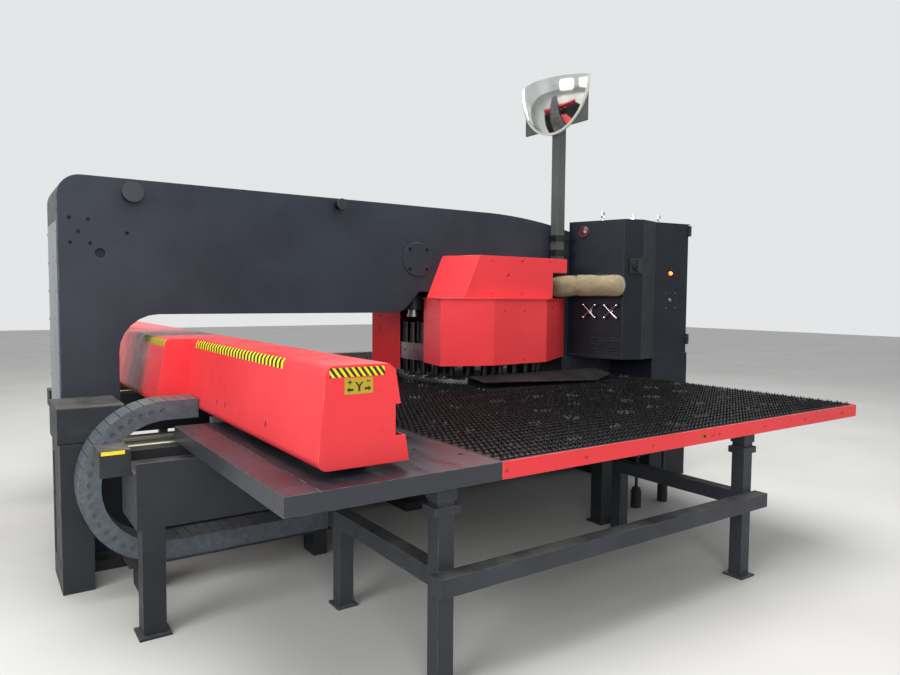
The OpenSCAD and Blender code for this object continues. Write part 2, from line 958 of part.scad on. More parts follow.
module drive_boxes() {
    left = throat_l - 120;
    color("#202429")
        both_sides()
            box([left - 130, -1290, bed_top - 20], [left, -1110, bed_top + 100]);
}

module gear_cover() {
    color("#23272c")
        along_x(frame_l - 60, throat_l - 45)
            polygon(rounded(
                [[-side - 400, 780], [-side, 780], [-side, 970], [-side - 400, 970]],
                [10, 0, 0, 10]));
}

module pedestal() {
    color("#2a2e33")
        difference() {
            box([frame_l - 50, -side - 400, 0], [frame_l + 100, -side, 780]);
            box([frame_l - 60, -side - 360, 120], [frame_l - 44, -side - 40, 700]);
        }
}

module cable_carrier() {
    inner = chain_r - chain_h;
    step = 180 / chain_links;
    top_end = carriage_x - cover_left - gap - chain_x;
    color("#3a3f46")
        translate([chain_x, chain_y, chain_z])
            difference() {
                union() {
                    rotate([-90, 0, 0])
                        difference() {
                            cylinder(r = chain_r, h = chain_w, $fn = 96);
                            translate([0, 0, -1])
                                cylinder(r = inner, h = chain_w + 2, $fn = 96);
                            translate([0, -500, -1])
                                cube([500, 1000, chain_w + 2]);
                        }
                    box([-eps, 0, inner], [top_end, chain_w, chain_r]);
                    box([-eps, 0, -chain_r], [chain_run, chain_w, -inner]);
                }
                for (i = [0 : chain_links])
                    rotate([0, 90 - i * step, 0])
                        box([-chain_r - 1, -1, -2], [-chain_r + 7, chain_w + 1, 2]);
                for (i = [1 : floor(chain_run / 58)])
                    box([i * 58 - 2, -1, -inner - 7], [i * 58 + 2, chain_w + 1, -inner + 1]);
                for (i = [1 : floor(top_end / 58)])
                    box([i * 58 - 2, -1, chain_r - 7], [i * 58 + 2, chain_w + 1, chain_r + 1]);
                for (i = [0 : chain_links - 1], s = [-1, chain_w - 5])
                    rotate([0, 90 - (i + 0.5) * step, 0])
                        translate([-(chain_r + inner) / 2, s, 0])
                            rotate([-90, 0, 0])
                                cylinder(r = 14, h = 6, $fn = 24);
            }
}

module chain_tray() {
    color("#1f2327") {
        box([chain_x - 200, chain_y - 10, chain_z - chain_r - 8],
            [chain_x + chain_run + 20, chain_y + chain_w + 4, chain_z - chain_r]);
        for (x = [chain_x - 150, chain_x + chain_run - 80])
            box([x, chain_y + 20, 0],
                [x + 80, chain_y + chain_w - 20, chain_z - chain_r - 8 + eps]);
        box([chain_x - 60, chain_y + chain_w + 3, chain_z - chain_r - 8],
            [chain_x, chain_y + chain_w + 20, bed_top - bed_h]);
    }
}

module levelling_foot(x, y, top) {
    post(x, y, 38, 0, 128);
    post(x, y, 30, 127, 150);
    post(x, y, 11, 149, top);
    post(x, y, 20, top - 26, top - 8);
}

module outrigger() {
    color("#1c2024") {
        box([bed_right + 22, -1330, 510], [table_right - 10, -1230, 700]);
        box([1240, -1320, 400], [1480, -1200, 511]);
        box([1560, -1320, 400], [1740, -1200, 511]);
        box([1400, -1231, 510], [1520, -side, 610]);
        levelling_foot(1345, -1260, 401);
        levelling_foot(1645, -1260, 401);
    }
}

// carriage
module carriage_beam() {
    b = beam_w / 2;
    h = beam_len / 2;
    color("#5a6068")
        translate([carriage_x, 0, 0]) {
            box([-b, -h, beam_z], [b, h, beam_z + beam_h]);
            both_sides() {
                for (y = [-half_span + 360, -bed_in - 250])
                    box([-b + 10, y - 100, table_z], [b - 10, y + 100, beam_z + eps]);
                box([-160, -rail_y - 22, rail_top + gap], [160, -rail_y + 22, carriage_low - 6]);
                box([-b + 10, -rail_y - 22, carriage_low - 7], [b - 10, -rail_y + 22, beam_z + eps]);
            }
            box([b - eps, -h + 20, 1080], [b + 15, h - 20, 1100]);
        }
}

function side_profile(left_low, left_top) =
    [[left_low, carriage_low], [carriage_x + 200, carriage_low],
        [carriage_x + 140, carriage_top - 25], [carriage_x + 110, carriage_top],
        [left_top, carriage_top]];

// outline of a carriage cover, with folded left corners
function cover_outline(p, t) =
    rounded(t > 0 ? inset(p, [t, t, t, t, t]) : p,
        [fold_r - t, 0, 20 - t, 12 - t, fold_r - t]);

module carriage_cover(y0, y1, p, near_end) {
    difference() {
        along_y(y0, y1)
            polygon(cover_outline(p, 0));
        along_y(y0 + near_end, y1 + 1)
            polygon(cover_outline(p, sheet_t));
        box([slot_x, y0 - 1, slot_z], [slot_x + 200, y1 + 1, slot_z + slot_h]);
    }
}

// the open bottom leaves a lip turned in along both sides
module side_cover() {
    left = carriage_x - cover_left;
    y0 = -middle_half - side_cover_len;
    difference() {
        carriage_cover(y0, -middle_half, side_profile(left, left + 35), sheet_t);
        box([left + 70, y0 + sheet_t, carriage_low - 1],
            [carriage_x + 188, -middle_half + 1, carriage_low + sheet_t + 1]);
    }
}

module cover_near() {
    color("#d8383c")
        side_cover();
}

// its end walls close the step and are cut off beside the beam
module cover_middle() {
    p = side_profile(carriage_x - 338, carriage_x - 276);
    color("#d8383c") {
        carriage_cover(-middle_half, middle_half, p, -1);
        both_sides()
            intersection() {
                along_y(-middle_half, -middle_half + sheet_t)
                    polygon(cover_outline(p, 0));
                box([carriage_x - 400, -middle_half - 1, carriage_low - 1],
                    [carriage_x - beam_w / 2 - gap, -middle_half + sheet_t + 1, carriage_top + 1]);
            }
    }
}

module cover_far() {
    color("#d8383c")
        mirror([0, 1, 0])
            side_cover();
}

module slide_plate() {
    inner = -bed_in - rail_w - 7;
    difference() {
        box([plate_l, -half_span, table_z - plate_t], [plate_r, inner, table_z]);
        box([plate_l + plate_border - 2, -half_span - 1, table_z - 2],
            [plate_l + plate_border + 2, inner + 1, table_z + 1]);
        for (p = [[plate_r - 174, -half_span + 389], [plate_r - 62, -half_span + 205]])
            post(p.x, p.y, 13, table_z - 30, table_z + 1);
    }
}

module slide_plate_near() {
    color("#45474e")
        slide_plate();
}

module slide_plate_far() {
    color("#45474e")
        mirror([0, 1, 0])
            slide_plate();
}

module brush_table() {
    inner = -bed_in + 5;
    outer = -half_span + strip_t;
    low = table_z - rim_h;
    box([plate_r, outer, table_z - table_t], [table_right, inner, table_z]);
    box([plate_r, outer, low], [table_right, outer + 155, table_z - table_t + eps]);
    for (x = [plate_r, table_right - 40])
        box([x, outer + 154, low], [x + 40, -bed_in - rail_w - 12, table_z - table_t + eps]);
    box([plate_r, -bed_in - rail_w, rail_top + gap], [table_right, -bed_in, table_z - table_t + eps]);
    tuft_rows(plate_r + 20, table_right - 15, outer, inner);
}

module brush_table_near() {
    color("#131518")
        brush_table();
}

module brush_table_far() {
    color("#131518")
        mirror([0, 1, 0])
            brush_table();
}

module edge_strips() {
    color("#d8383c")
        both_sides()
            box([plate_r, -half_span, table_z - rim_h], [table_right, -half_span + strip_t, table_z]);
}

// sheet clamps
module clamp_arm() {
    w = 40;
    box([clamp_x + 70, -w, 1055], [clamp_x + 190, w, 1125]);
    box([clamp_x + 130, -w, die_line - 3], [clamp_x + 190, w, 1056]);
    box([clamp_x + 189, -w, die_line - 3], [clamp_x + 290, w, die_line + 5]);
    for (s = [-1, 1])
        difference() {
            box([clamp_x + 189, s * 30, die_line - 3], [clamp_x + 225, s * w, die_line + 60]);
            translate([jaw_x, 0, jaw_z])
                rotate([90, 0, 0])
                    cylinder(r = clamp_pin + run_clear, h = 100, center = true);
        }
}

module clamp_slide() {
    color("#6a7078")
        union() {
            difference() {
                box([clamp_x + gap, -clamp_slide_len / 2, 1050], [clamp_x + 75, clamp_slide_len / 2, 1130]);
                box([clamp_x - 1, -clamp_slide_len, 1080 - gap],
                    [clamp_x + 15 + gap, clamp_slide_len, 1100 + gap]);
            }
            for (s = [-1, 1])
                translate([0, s * clamp_pitch / 2, 0])
                    clamp_arm();
        }
}

module clamp_jaw() {
    rotate([90, 0, 0])
        cylinder(r = clamp_pin, h = 88, center = true);
    difference() {
        translate([-jaw_x, 0, -jaw_z])
            along_y(-29, 29)
                polygon([[jaw_x - 10, jaw_z - 9], [jaw_x - 3, jaw_z - 13], [clamp_x + 285, die_line + 7],
                    [clamp_x + 290, die_line + 14], [jaw_x + 14, jaw_z + 12], [jaw_x, jaw_z + 14],
                    [jaw_x - 10, jaw_z + 9]]);
        rotate([90, 0, 0])
            cylinder(r = clamp_pin - 1, h = 60, center = true);
    }
}

module clamp_jaw_a() {
    color("#b4b8bc")
        translate([jaw_x, -clamp_pitch / 2, jaw_z])
            clamp_jaw();
}

module clamp_jaw_b() {
    color("#b4b8bc")
        translate([jaw_x, clamp_pitch / 2, jaw_z])
            clamp_jaw();
}

// stands
module stand() {
    t = tube / 2;
    for (x = [leg_left, leg_right]) {
        box([x - t, -stand_out - t, 10], [x + t, -stand_out + t, table_z - rim_h - 68]);
        box([x - 60, -stand_out - 60, 0], [x + 60, -stand_out + 60, 10 + eps]);
        box([x - 58, -stand_out - 48, table_z - rim_h - 128], [x + 58, -stand_out + 48, table_z - rim_h - 93]);
        box([x - 46, -stand_out - 44, table_z - rim_h - 69], [x + 46, -stand_out + 44, table_z - rim_h - gap]);
        box([x - t, -stand_in - t, 10], [x + t, -stand_in + t, rail_z + tube]);
        box([x - 55, -stand_in - 55, 0], [x + 55, -stand_in + 55, 10 + eps]);
        box([x - t, -stand_out + t - eps, rail_z], [x + t, -stand_in - t + eps, rail_z + tube]);
    }
    box([leg_left - t - 40, -stand_out - t - tube, rail_z],
        [leg_right + t + 40, -stand_out - t + eps, rail_z + tube]);
}

module stand_near() {
    color("#2d3035")
        stand();
}

module stand_far() {
    color("#2d3035")
        mirror([0, 1, 0])
            stand();
}

frame();
sole_plates();
frame_end_cover();
lifting_stubs();
access_disc();
ram_housing();
striker();
upper_pivot();
upper_turret();
punch_set();
lower_pivot();
lower_turret();
die_set();
turret_cover_lower();
turret_cover_upper();
rear_cover();
centre_table();
sheet_ramp();
hanging_cabinet();
louver_panel();
cross_handle_a();
cross_handle_b();
bump_pad();
tall_cabinet();
cabinet_door();
door_hinges();
power_lamp();
lift_eyes();
switch_base();
switch_handle();
signal_lens();
cable_gland();
mirror_post();
post_clamps();
mirror_bracket();
dome_mirror();
bed_near();
bed_far();
guide_rails();
drive_boxes();
gear_cover();
pedestal();
cable_carrier();
chain_tray();
outrigger();
carriage_beam();
cover_near();
cover_middle();
cover_far();
slide_plate_near();
slide_plate_far();
brush_table_near();
brush_table_far();
edge_strips();
clamp_slide();
clamp_jaw_a();
clamp_jaw_b();
stand_near();
stand_far();
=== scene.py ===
import math
import random

import bmesh
import bpy
from mathutils import Matrix, Vector, noise


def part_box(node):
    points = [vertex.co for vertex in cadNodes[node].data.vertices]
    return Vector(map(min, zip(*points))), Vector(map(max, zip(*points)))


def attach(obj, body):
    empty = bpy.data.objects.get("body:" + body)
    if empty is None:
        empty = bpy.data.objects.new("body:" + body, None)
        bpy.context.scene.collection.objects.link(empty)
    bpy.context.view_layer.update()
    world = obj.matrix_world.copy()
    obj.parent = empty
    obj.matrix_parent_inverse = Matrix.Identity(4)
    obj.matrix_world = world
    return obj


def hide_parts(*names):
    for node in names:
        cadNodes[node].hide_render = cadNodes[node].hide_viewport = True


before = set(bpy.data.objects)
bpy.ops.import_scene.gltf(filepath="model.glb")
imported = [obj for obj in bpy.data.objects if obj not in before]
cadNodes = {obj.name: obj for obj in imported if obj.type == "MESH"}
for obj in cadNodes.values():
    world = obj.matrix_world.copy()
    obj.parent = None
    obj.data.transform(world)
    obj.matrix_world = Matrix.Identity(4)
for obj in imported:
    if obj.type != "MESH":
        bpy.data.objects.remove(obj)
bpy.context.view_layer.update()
mm = 0.001


# camera, set to the photograph's station

cameraView = {
    "place": (-2.70, -4.69, 1.55),
    "yaw": 34.46,      # degrees from +Y towards +X
    "pitch": 3.31,     # degrees down
    "roll": 0.45,
    "lens": 27.89,     # mm
    "sensor": 36,      # mm wide
    "reach": 200,      # m, the farthest thing shown
}


def makeCamera(view):
    yaw, pitch, roll = (math.radians(view[key]) for key in ("yaw", "pitch", "roll"))
    flat = math.cos(pitch)
    ahead = Vector((math.sin(yaw) * flat, math.cos(yaw) * flat, -math.sin(pitch)))
    level = Vector((math.cos(yaw), -math.sin(yaw), 0))
    upward = level.cross(ahead)
    right = level * math.cos(roll) + upward * math.sin(roll)
    up = right.cross(ahead)
    data = bpy.data.cameras.new("stationCamera")
    data.lens = view["lens"]
    data.sensor_width = view["sensor"]
    data.sensor_fit = "HORIZONTAL"
    data.clip_end = view["reach"]
    camera = bpy.data.objects.new("stationCamera", data)
    bpy.context.scene.collection.objects.link(camera)
    turn = Matrix((right, up, -ahead)).transposed()
    camera.matrix_world = Matrix.Translation(view["place"]) @ turn.to_4x4()
    bpy.context.scene.camera = camera


makeCamera(cameraView)
print("camera placed")


# finishes

def linear(code):
    # hex code to the linear colour that the shaders take
    parts = [int(code[i:i + 2], 16) / 255 for i in (1, 3, 5)]
    return [c / 12.92 if c < 0.04045 else ((c + 0.055) / 1.055) ** 2.4 for c in parts] + [1]


def shaded(colour, factor, lift=0.0):
    return [min(1, c * factor + lift) for c in colour[:3]] + [1]


def startFinish(name):
    material = bpy.data.materials.new(name)
    material.use_nodes = True
    tree = material.node_tree
    return material, tree, tree.nodes["Principled BSDF"]


def addNode(tree, kind, **values):
    node = tree.nodes.new(kind)
    for key, value in values.items():
        setattr(node, key, value)
    return node


def grain(tree, scale, detail=3, stretch=(1, 1, 1), roughness=0.55):
    place = addNode(tree, "ShaderNodeTexCoord")
    mapping = addNode(tree, "ShaderNodeMapping")
    mapping.inputs["Scale"].default_value = stretch
    tree.links.new(place.outputs["Object"], mapping.inputs["Vector"])
    texture = addNode(tree, "ShaderNodeTexNoise")
    texture.inputs["Scale"].default_value = scale
    texture.inputs["Detail"].default_value = detail
    texture.inputs["Roughness"].default_value = roughness
    tree.links.new(mapping.outputs["Vector"], texture.inputs["Vector"])
    return texture.outputs["Fac"]


def spread(tree, source, low, high, start=0.0, end=1.0):
    node = addNode(tree, "ShaderNodeMapRange")
    node.inputs["From Min"].default_value = low
    node.inputs["From Max"].default_value = high
    node.inputs["To Min"].default_value = start
    node.inputs["To Max"].default_value = end
    tree.links.new(source, node.inputs["Value"])
    return node.outputs["Result"]


def combine(tree, operation, first, second):
    node = addNode(tree, "ShaderNodeMath", operation=operation)
    node.use_clamp = operation in ("MULTIPLY", "ADD")
    for socket, value in zip(node.inputs, (first, second)):
        if isinstance(value, (int, float)):
            socket.default_value = value
        else:
            tree.links.new(value, socket)
    return node.outputs[0]


def blendColour(tree, factor, first, second):
    node = addNode(tree, "ShaderNodeMix", data_type="RGBA")
    for index, value in ((0, factor), (6, first), (7, second)):     # the colour mix's sockets
        socket = node.inputs[index]
        if isinstance(value, (int, float, list, tuple)):
            socket.default_value = value
        else:
            tree.links.new(value, socket)
    return node.outputs[2]


def softEdges(tree, radius):
    node = addNode(tree, "ShaderNodeBevel")
    node.samples = 4
    node.inputs["Radius"].default_value = radius
    return node.outputs["Normal"]


def edgeMask(tree, rounded, strength):
    geometry = addNode(tree, "ShaderNodeNewGeometry")
    dot = addNode(tree, "ShaderNodeVectorMath", operation="DOT_PRODUCT")
    tree.links.new(rounded, dot.inputs[0])
    tree.links.new(geometry.outputs["Normal"], dot.inputs[1])
    return spread(tree, dot.outputs["Value"], 0.995, 0.80, 0.0, strength)


def upMask(tree, strength):
    geometry = addNode(tree, "ShaderNodeNewGeometry")
    parts = addNode(tree, "ShaderNodeSeparateXYZ")
    tree.links.new(geometry.outputs["Normal"], parts.inputs[0])
    return spread(tree, parts.outputs["Z"], 0.6, 1.0, 0.0, strength)


def axisStep(tree, axis, low, high):
    place = addNode(tree, "ShaderNodeTexCoord")
    parts = addNode(tree, "ShaderNodeSeparateXYZ")
    tree.links.new(place.outputs["Object"], parts.inputs[0])
    return spread(tree, parts.outputs[axis], low, high)


def bump(tree, shader, height, strength, depth, normal=None):
    node = addNode(tree, "ShaderNodeBump")
    node.inputs["Strength"].default_value = strength
    node.inputs["Distance"].default_value = depth
    tree.links.new(height, node.inputs["Height"])
    if normal is not None:
        tree.links.new(normal, node.inputs["Normal"])
    tree.links.new(node.outputs["Normal"], shader.inputs["Normal"])


def machinePaint(name, look):
    # sprayed enamel: cloudy tone, dust on top, rubbed edges (on the red covers partly a painted
    # edge highlight), fine orange peel
    material, tree, shader = startFinish(name)
    colour = linear(look["colour"])
    lighter = shaded(colour, look.get("lift", 1.35), 0.004)
    cloud = spread(tree, grain(tree, 2.2, 5), 0.38, 0.68)
    tone = blendColour(tree, cloud, colour, lighter)
    rubScale, rubStretch = look.get("rubs", (7, (0.35, 1, 1.6)))
    rubs = grain(tree, rubScale, 8, rubStretch, 0.7)
    rubs = spread(tree, rubs, 0.60, 0.74, 0, look.get("rubAmount", 0.25))
    tone = blendColour(tree, rubs, tone, linear(look.get("rubColour", "#6b6f73")))
    settled = upMask(tree, look.get("dust", 0.3))
    dust = combine(tree, "MULTIPLY", settled, spread(tree, grain(tree, 5, 6), 0.3, 0.7))
    tone = blendColour(tree, dust, tone, linear(look.get("dustColour", "#8a8780")))
    rounded = softEdges(tree, look.get("edge", 0.003))
    edges = edgeMask(tree, rounded, look.get("wear", 0.5))
    worn = combine(tree, "MULTIPLY", edges, spread(tree, grain(tree, 22, 6), 0.42, 0.62))
    # edge colour: rubbed paint, and on the red covers also a painted highlight
    tone = blendColour(tree, worn, tone, linear(look.get("wearAndHighlightColour", "#9b9ea1")))
    tree.links.new(tone, shader.inputs["Base Color"])
    low, high = look.get("gloss", (0.34, 0.52))
    gloss = spread(tree, grain(tree, 14, 5), 0.3, 0.7, low, high)
    tree.links.new(gloss, shader.inputs["Roughness"])
    shader.inputs["Specular IOR Level"].default_value = look.get("specular", 0.28)
    peel = grain(tree, look.get("peelScale", 420), 2)
    bump(tree, shader, peel, look.get("peel", 0.06), 0.0006, rounded)
    return material


def turnedSteel(name, look):
    # machined steel with fine tool marks and a film of old oil
    material, tree, shader = startFinish(name)
    colour = linear(look["colour"])
    marks = grain(tree, 60, 6, look.get("marks", (1, 1, 30)), 0.65)
    tone = blendColour(tree, spread(tree, marks, 0.3, 0.7), colour, shaded(colour, 0.72))
    film = spread(tree, grain(tree, 9, 6), 0.5, 0.72, 0, look.get("film", 0.5))
    tone = blendColour(tree, film, tone, linear(look.get("filmColour", "#4b3a24")))
    tree.links.new(tone, shader.inputs["Base Color"])
    shader.inputs["Metallic"].default_value = 1.0
    low, high = look.get("gloss", (0.24, 0.42))
    tree.links.new(spread(tree, marks, 0.3, 0.7, low, high), shader.inputs["Roughness"])
    bump(tree, shader, marks, 0.08, 0.0005, softEdges(tree, 0.0015))
    return material


def mouldedPlastic(name, look):
    material, tree, shader = startFinish(name)
    colour = linear(look["colour"])
    cloud = spread(tree, grain(tree, 30, 5), 0.35, 0.7)
    tone = blendColour(tree, cloud, colour, shaded(colour, 1.5, 0.003))
    settled = upMask(tree, look.get("dust", 0.35))
    dust = combine(tree, "MULTIPLY", settled, spread(tree, grain(tree, 18, 5), 0.3, 0.7))
    tone = blendColour(tree, dust, tone, linear("#77746c"))
    tree.links.new(tone, shader.inputs["Base Color"])
    gloss = spread(tree, grain(tree, 45, 4), 0.3, 0.7, 0.35, 0.55)
    tree.links.new(gloss, shader.inputs["Roughness"])
    shader.inputs["Specular IOR Level"].default_value = look.get("specular", 0.5)
    bump(tree, shader, grain(tree, 700, 2), 0.12, 0.0005, softEdges(tree, 0.0015))
    return material


def brightChrome(name):
    material, tree, shader = startFinish(name)
    haze = spread(tree, grain(tree, 80, 5), 0.35, 0.75, 0.06, 0.22)
    spots = spread(tree, grain(tree, 40, 4), 0.5, 0.8)
    tone = blendColour(tree, spots, linear("#e4e6e8"), linear("#a9a7a0"))
    tree.links.new(tone, shader.inputs["Base Color"])
    tree.links.new(haze, shader.inputs["Roughness"])
    shader.inputs["Metallic"].default_value = 1.0
    bump(tree, shader, grain(tree, 60, 3), 0.03, 0.0004)
    return material


def bristleNylon(name, root, tip):
    # dark at the root and a little lighter at the tips: partly scuffs and dust, partly a painted
    # glint on the tips
    material, tree, shader = startFinish(name)
    height = axisStep(tree, "Z", 0.904, 0.921)     # over the free length of the tufts
    patch = spread(tree, grain(tree, 3.5, 4), 0.35, 0.7, 0.35, 1)
    tone = blendColour(tree, combine(tree, "MULTIPLY", height, patch), linear(root), linear(tip))
    tree.links.new(tone, shader.inputs["Base Color"])
    gloss = spread(tree, grain(tree, 55, 3), 0.3, 0.7, 0.28, 0.5)
    tree.links.new(gloss, shader.inputs["Roughness"])
    shader.inputs["Specular IOR Level"].default_value = 0.35
    return material


def slidePlatePaint(name):
    # worn satin face with sliding marks along the carriage; its inner part darker, partly a
    # painted shadow under the cover and a painted reflection; lighter outer band
    material, tree, shader = startFinish(name)
    band = axisStep(tree, "X", -1.7545, -1.7555)     # where the outer band begins
    streaks = grain(tree, 26, 7, (1, 0.12, 1), 0.7)
    slid = spread(tree, streaks, 0.32, 0.7)
    # the darker inner face carries a painted shadow from the cover over it
    inner = blendColour(tree, slid, linear("#1f2228"), linear("#33373e"))
    cloud = spread(tree, grain(tree, 6, 6), 0.35, 0.7)
    outer = blendColour(tree, cloud, linear("#33363d"), linear("#484c54"))
    tone = blendColour(tree, band, inner, outer)
    side = spread(tree, upMask(tree, 1.0), 0.1, 0.9)
    tone = blendColour(tree, side, linear("#33363c"), tone)
    rounded = softEdges(tree, 0.003)
    edges = edgeMask(tree, rounded, 0.7)
    worn = combine(tree, "MULTIPLY", edges, spread(tree, grain(tree, 18, 6), 0.4, 0.6))
    tone = blendColour(tree, worn, tone, linear("#a3a6a9"))
    tree.links.new(tone, shader.inputs["Base Color"])
    tree.links.new(spread(tree, streaks, 0.3, 0.7, 0.26, 0.44), shader.inputs["Roughness"])
    shader.inputs["Metallic"].default_value = 0.25
    bump(tree, shader, streaks, 0.05, 0.0006, rounded)
    return material


def endSheetPaint(name):
    # pale sheet with a rust streak run down from a fixing
    material, tree, shader = startFinish(name)
    cloud = spread(tree, grain(tree, 2.5, 6), 0.35, 0.7)
    tone = blendColour(tree, cloud, linear("#6f757b"), linear("#8a9095"))
    streak = spread(tree, grain(tree, 5, 6, (1, 3.2, 0.18), 0.7), 0.58, 0.72, 0, 0.55)
    tone = blendColour(tree, streak, tone, linear("#6a4a2c"))
    tree.links.new(tone, shader.inputs["Base Color"])
    gloss = spread(tree, grain(tree, 20, 4), 0.3, 0.7, 0.35, 0.5)
    tree.links.new(gloss, shader.inputs["Roughness"])
    bump(tree, shader, grain(tree, 300, 2), 0.06, 0.0006, softEdges(tree, 0.002))
    return material


def domeAcrylic(name):
    # silvered bulge, dusty towards its lower edge, with a pale moulded rim
    material, tree, shader = startFinish(name)
    rim = axisStep(tree, "X", 1.3055, 1.3065)     # where the bulge meets its rim
    haze = spread(tree, grain(tree, 6, 6), 0.35, 0.75)
    silver = blendColour(tree, haze, linear("#dfe2e0"), linear("#b3b4ad"))
    tone = blendColour(tree, rim, silver, linear("#c9c8be"))
    tree.links.new(tone, shader.inputs["Base Color"])
    tree.links.new(spread(tree, rim, 0, 1, 1, 0), shader.inputs["Metallic"])
    hazed = spread(tree, haze, 0, 1, 0.03, 0.16)
    rough = combine(tree, "MAXIMUM", hazed, spread(tree, rim, 0, 1, 0, 0.5))
    tree.links.new(rough, shader.inputs["Roughness"])
    return material


def litLens(name, colour, glow):
    material, tree, shader = startFinish(name)
    cloud = spread(tree, grain(tree, 60, 4), 0.4, 0.7)
    tone = blendColour(tree, cloud, linear(colour), shaded(linear(colour), 0.7))
    tree.links.new(tone, shader.inputs["Base Color"])
    shader.inputs["Roughness"].default_value = 0.18
    shader.inputs["Coat Weight"].default_value = 0.6
    if glow:
        tree.links.new(tone, shader.inputs["Emission Color"])
        shader.inputs["Emission Strength"].default_value = glow
    bump(tree, shader, grain(tree, 120, 2), 0.08, 0.0005)
    return material


def tapeVinyl(name, colour):
    material, tree, shader = startFinish(name)
    scuff = spread(tree, grain(tree, 40, 7, (1, 0.4, 1), 0.7), 0.55, 0.7, 0, 0.4)
    tone = blendColour(tree, scuff, linear(colour), linear("#8c7f4e"))
    tree.links.new(tone, shader.inputs["Base Color"])
    gloss = spread(tree, grain(tree, 30, 4), 0.3, 0.7, 0.35, 0.55)
    tree.links.new(gloss, shader.inputs["Roughness"])
    bump(tree, shader, grain(tree, 200, 3), 0.05, 0.0004)
    return material


def woolFleece(name):
    # matted, dusty pile over a knitted backing
    material, tree, shader = startFinish(name)
    pile = grain(tree, 150, 8, (1, 1, 1), 0.75)
    cloud = spread(tree, grain(tree, 9, 6), 0.3, 0.7)
    tone = blendColour(tree, cloud, linear("#94845f"), linear("#786a4b"))
    tone = blendColour(tree, spread(tree, pile, 0.35, 0.68, 0, 0.7), tone, linear("#b3a788"))
    grime = spread(tree, grain(tree, 4, 5), 0.55, 0.75, 0, 0.6)
    tone = blendColour(tree, grime, tone, linear("#5d5139"))
    tree.links.new(tone, shader.inputs["Base Color"])
    shader.inputs["Roughness"].default_value = 0.95
    shader.inputs["Sheen Weight"].default_value = 0.4
    shader.inputs["Sheen Roughness"].default_value = 0.5
    bump(tree, shader, pile, 0.9, 0.004)
    return material


paints = {
    "frameCharcoal": {
        "colour": "#242932", "lift": 1.3, "rubAmount": 0.16, "rubColour": "#5b626b",
        "wear": 0.45, "edge": 0.006, "dust": 0.5, "gloss": (0.33, 0.5),
    },
    "baseBlack": {
        "colour": "#202327", "rubAmount": 0.2, "rubColour": "#55585b",
        "dust": 0.45, "gloss": (0.42, 0.62),
    },
    "standGrey": {
        "colour": "#2c2f34", "rubAmount": 0.3, "rubColour": "#62666a",
        "wear": 0.7, "dust": 0.5, "gloss": (0.4, 0.58),
    },
    "cabinetBlue": {
        "colour": "#10151e", "lift": 1.25, "rubAmount": 0.12, "rubColour": "#4a515c",
        "wear": 0.35, "dust": 0.4, "peel": 0.16, "peelScale": 260, "gloss": (0.4, 0.55),
    },
    "coverRed": {
        "colour": "#e0393f", "lift": 1.08, "rubAmount": 0.1, "rubColour": "#a02a2e",
        # pale pink edges: partly rubbed paint, partly a painted edge highlight
        "rubs": (5, (1, 1, 1.8)), "wear": 0.75, "wearAndHighlightColour": "#e7b3aa", "edge": 0.003,
        "dust": 0.12, "dustColour": "#e8c7bd", "gloss": (0.26, 0.4),
    },
    "postOlive": {
        "colour": "#474b4a", "lift": 1.25, "rubAmount": 0.35, "rubColour": "#6e6b60",
        "rubs": (9, (1, 1, 0.15)), "wear": 0.6, "gloss": (0.45, 0.65),
    },
    "beamGrey": {"colour": "#4a4f56", "rubAmount": 0.3, "gloss": (0.4, 0.6)},
    "screwRed": {
        "colour": "#b02e32", "rubAmount": 0.5, "rubColour": "#5c2022",
        "wear": 0.8, "edge": 0.001,
    },
    "rampBlack": {
        "colour": "#060708", "lift": 1.1, "rubAmount": 0.05, "dust": 0.04,
        "wear": 0.5, "gloss": (0.5, 0.68), "specular": 0.25,
    },
}

steels = {
    "turretSteel": {"colour": "#a3a7ab"},
    "darkSteel": {"colour": "#4d5054", "film": 0.3, "gloss": (0.3, 0.5)},
    "toolSteel": {"colour": "#3a3c40", "film": 0.35, "gloss": (0.26, 0.45)},
    "railSteel": {"colour": "#9a9c8c", "marks": (0.2, 30, 30), "filmColour": "#6a5a2c"},
    "screwZinc": {"colour": "#8d9093", "film": 0.4, "gloss": (0.3, 0.5)},
    "screwBlack": {"colour": "#26282b", "film": 0.2, "gloss": (0.35, 0.5)},
    "goldLabel": {"colour": "#b5913f", "film": 0.4},
}

plastics = {
    "chainNylon": {"colour": "#484e55", "dust": 0.6},
    "tableBlack": {"colour": "#08090b", "dust": 0.04, "specular": 0.2},
    "blackPlastic": {"colour": "#17191c"},
}

finishes = {
    "slidePlate": slidePlatePaint("slidePlate"),
    "endSheet": endSheetPaint("endSheet"),
    "chrome": brightChrome("chrome"),
    "domeAcrylic": domeAcrylic("domeAcrylic"),
    "bristle": bristleNylon("bristle", "#030304", "#0d0f12"),
    # pale tips in patches: a painted glint on bent tufts
    "bristleGlint": bristleNylon("bristleGlint", "#15181c", "#a9adb2"),
    "lampAmber": litLens("lampAmber", "#ff9a4a", 1.6),
    "lensRed": litLens("lensRed", "#5a2226", 0),
    "tapeYellow": tapeVinyl("tapeYellow", "#e8d617"),
    "tapeBlack": tapeVinyl("tapeBlack", "#17181a"),
    "plateMustard": tapeVinyl("plateMustard", "#b39a1c"),
    "fleece": woolFleece("fleece"),
}
for make, looks in ((machinePaint, paints), (turnedSteel, steels), (mouldedPlastic, plastics)):
    for name, look in looks.items():
        finishes[name] = make(name, look)

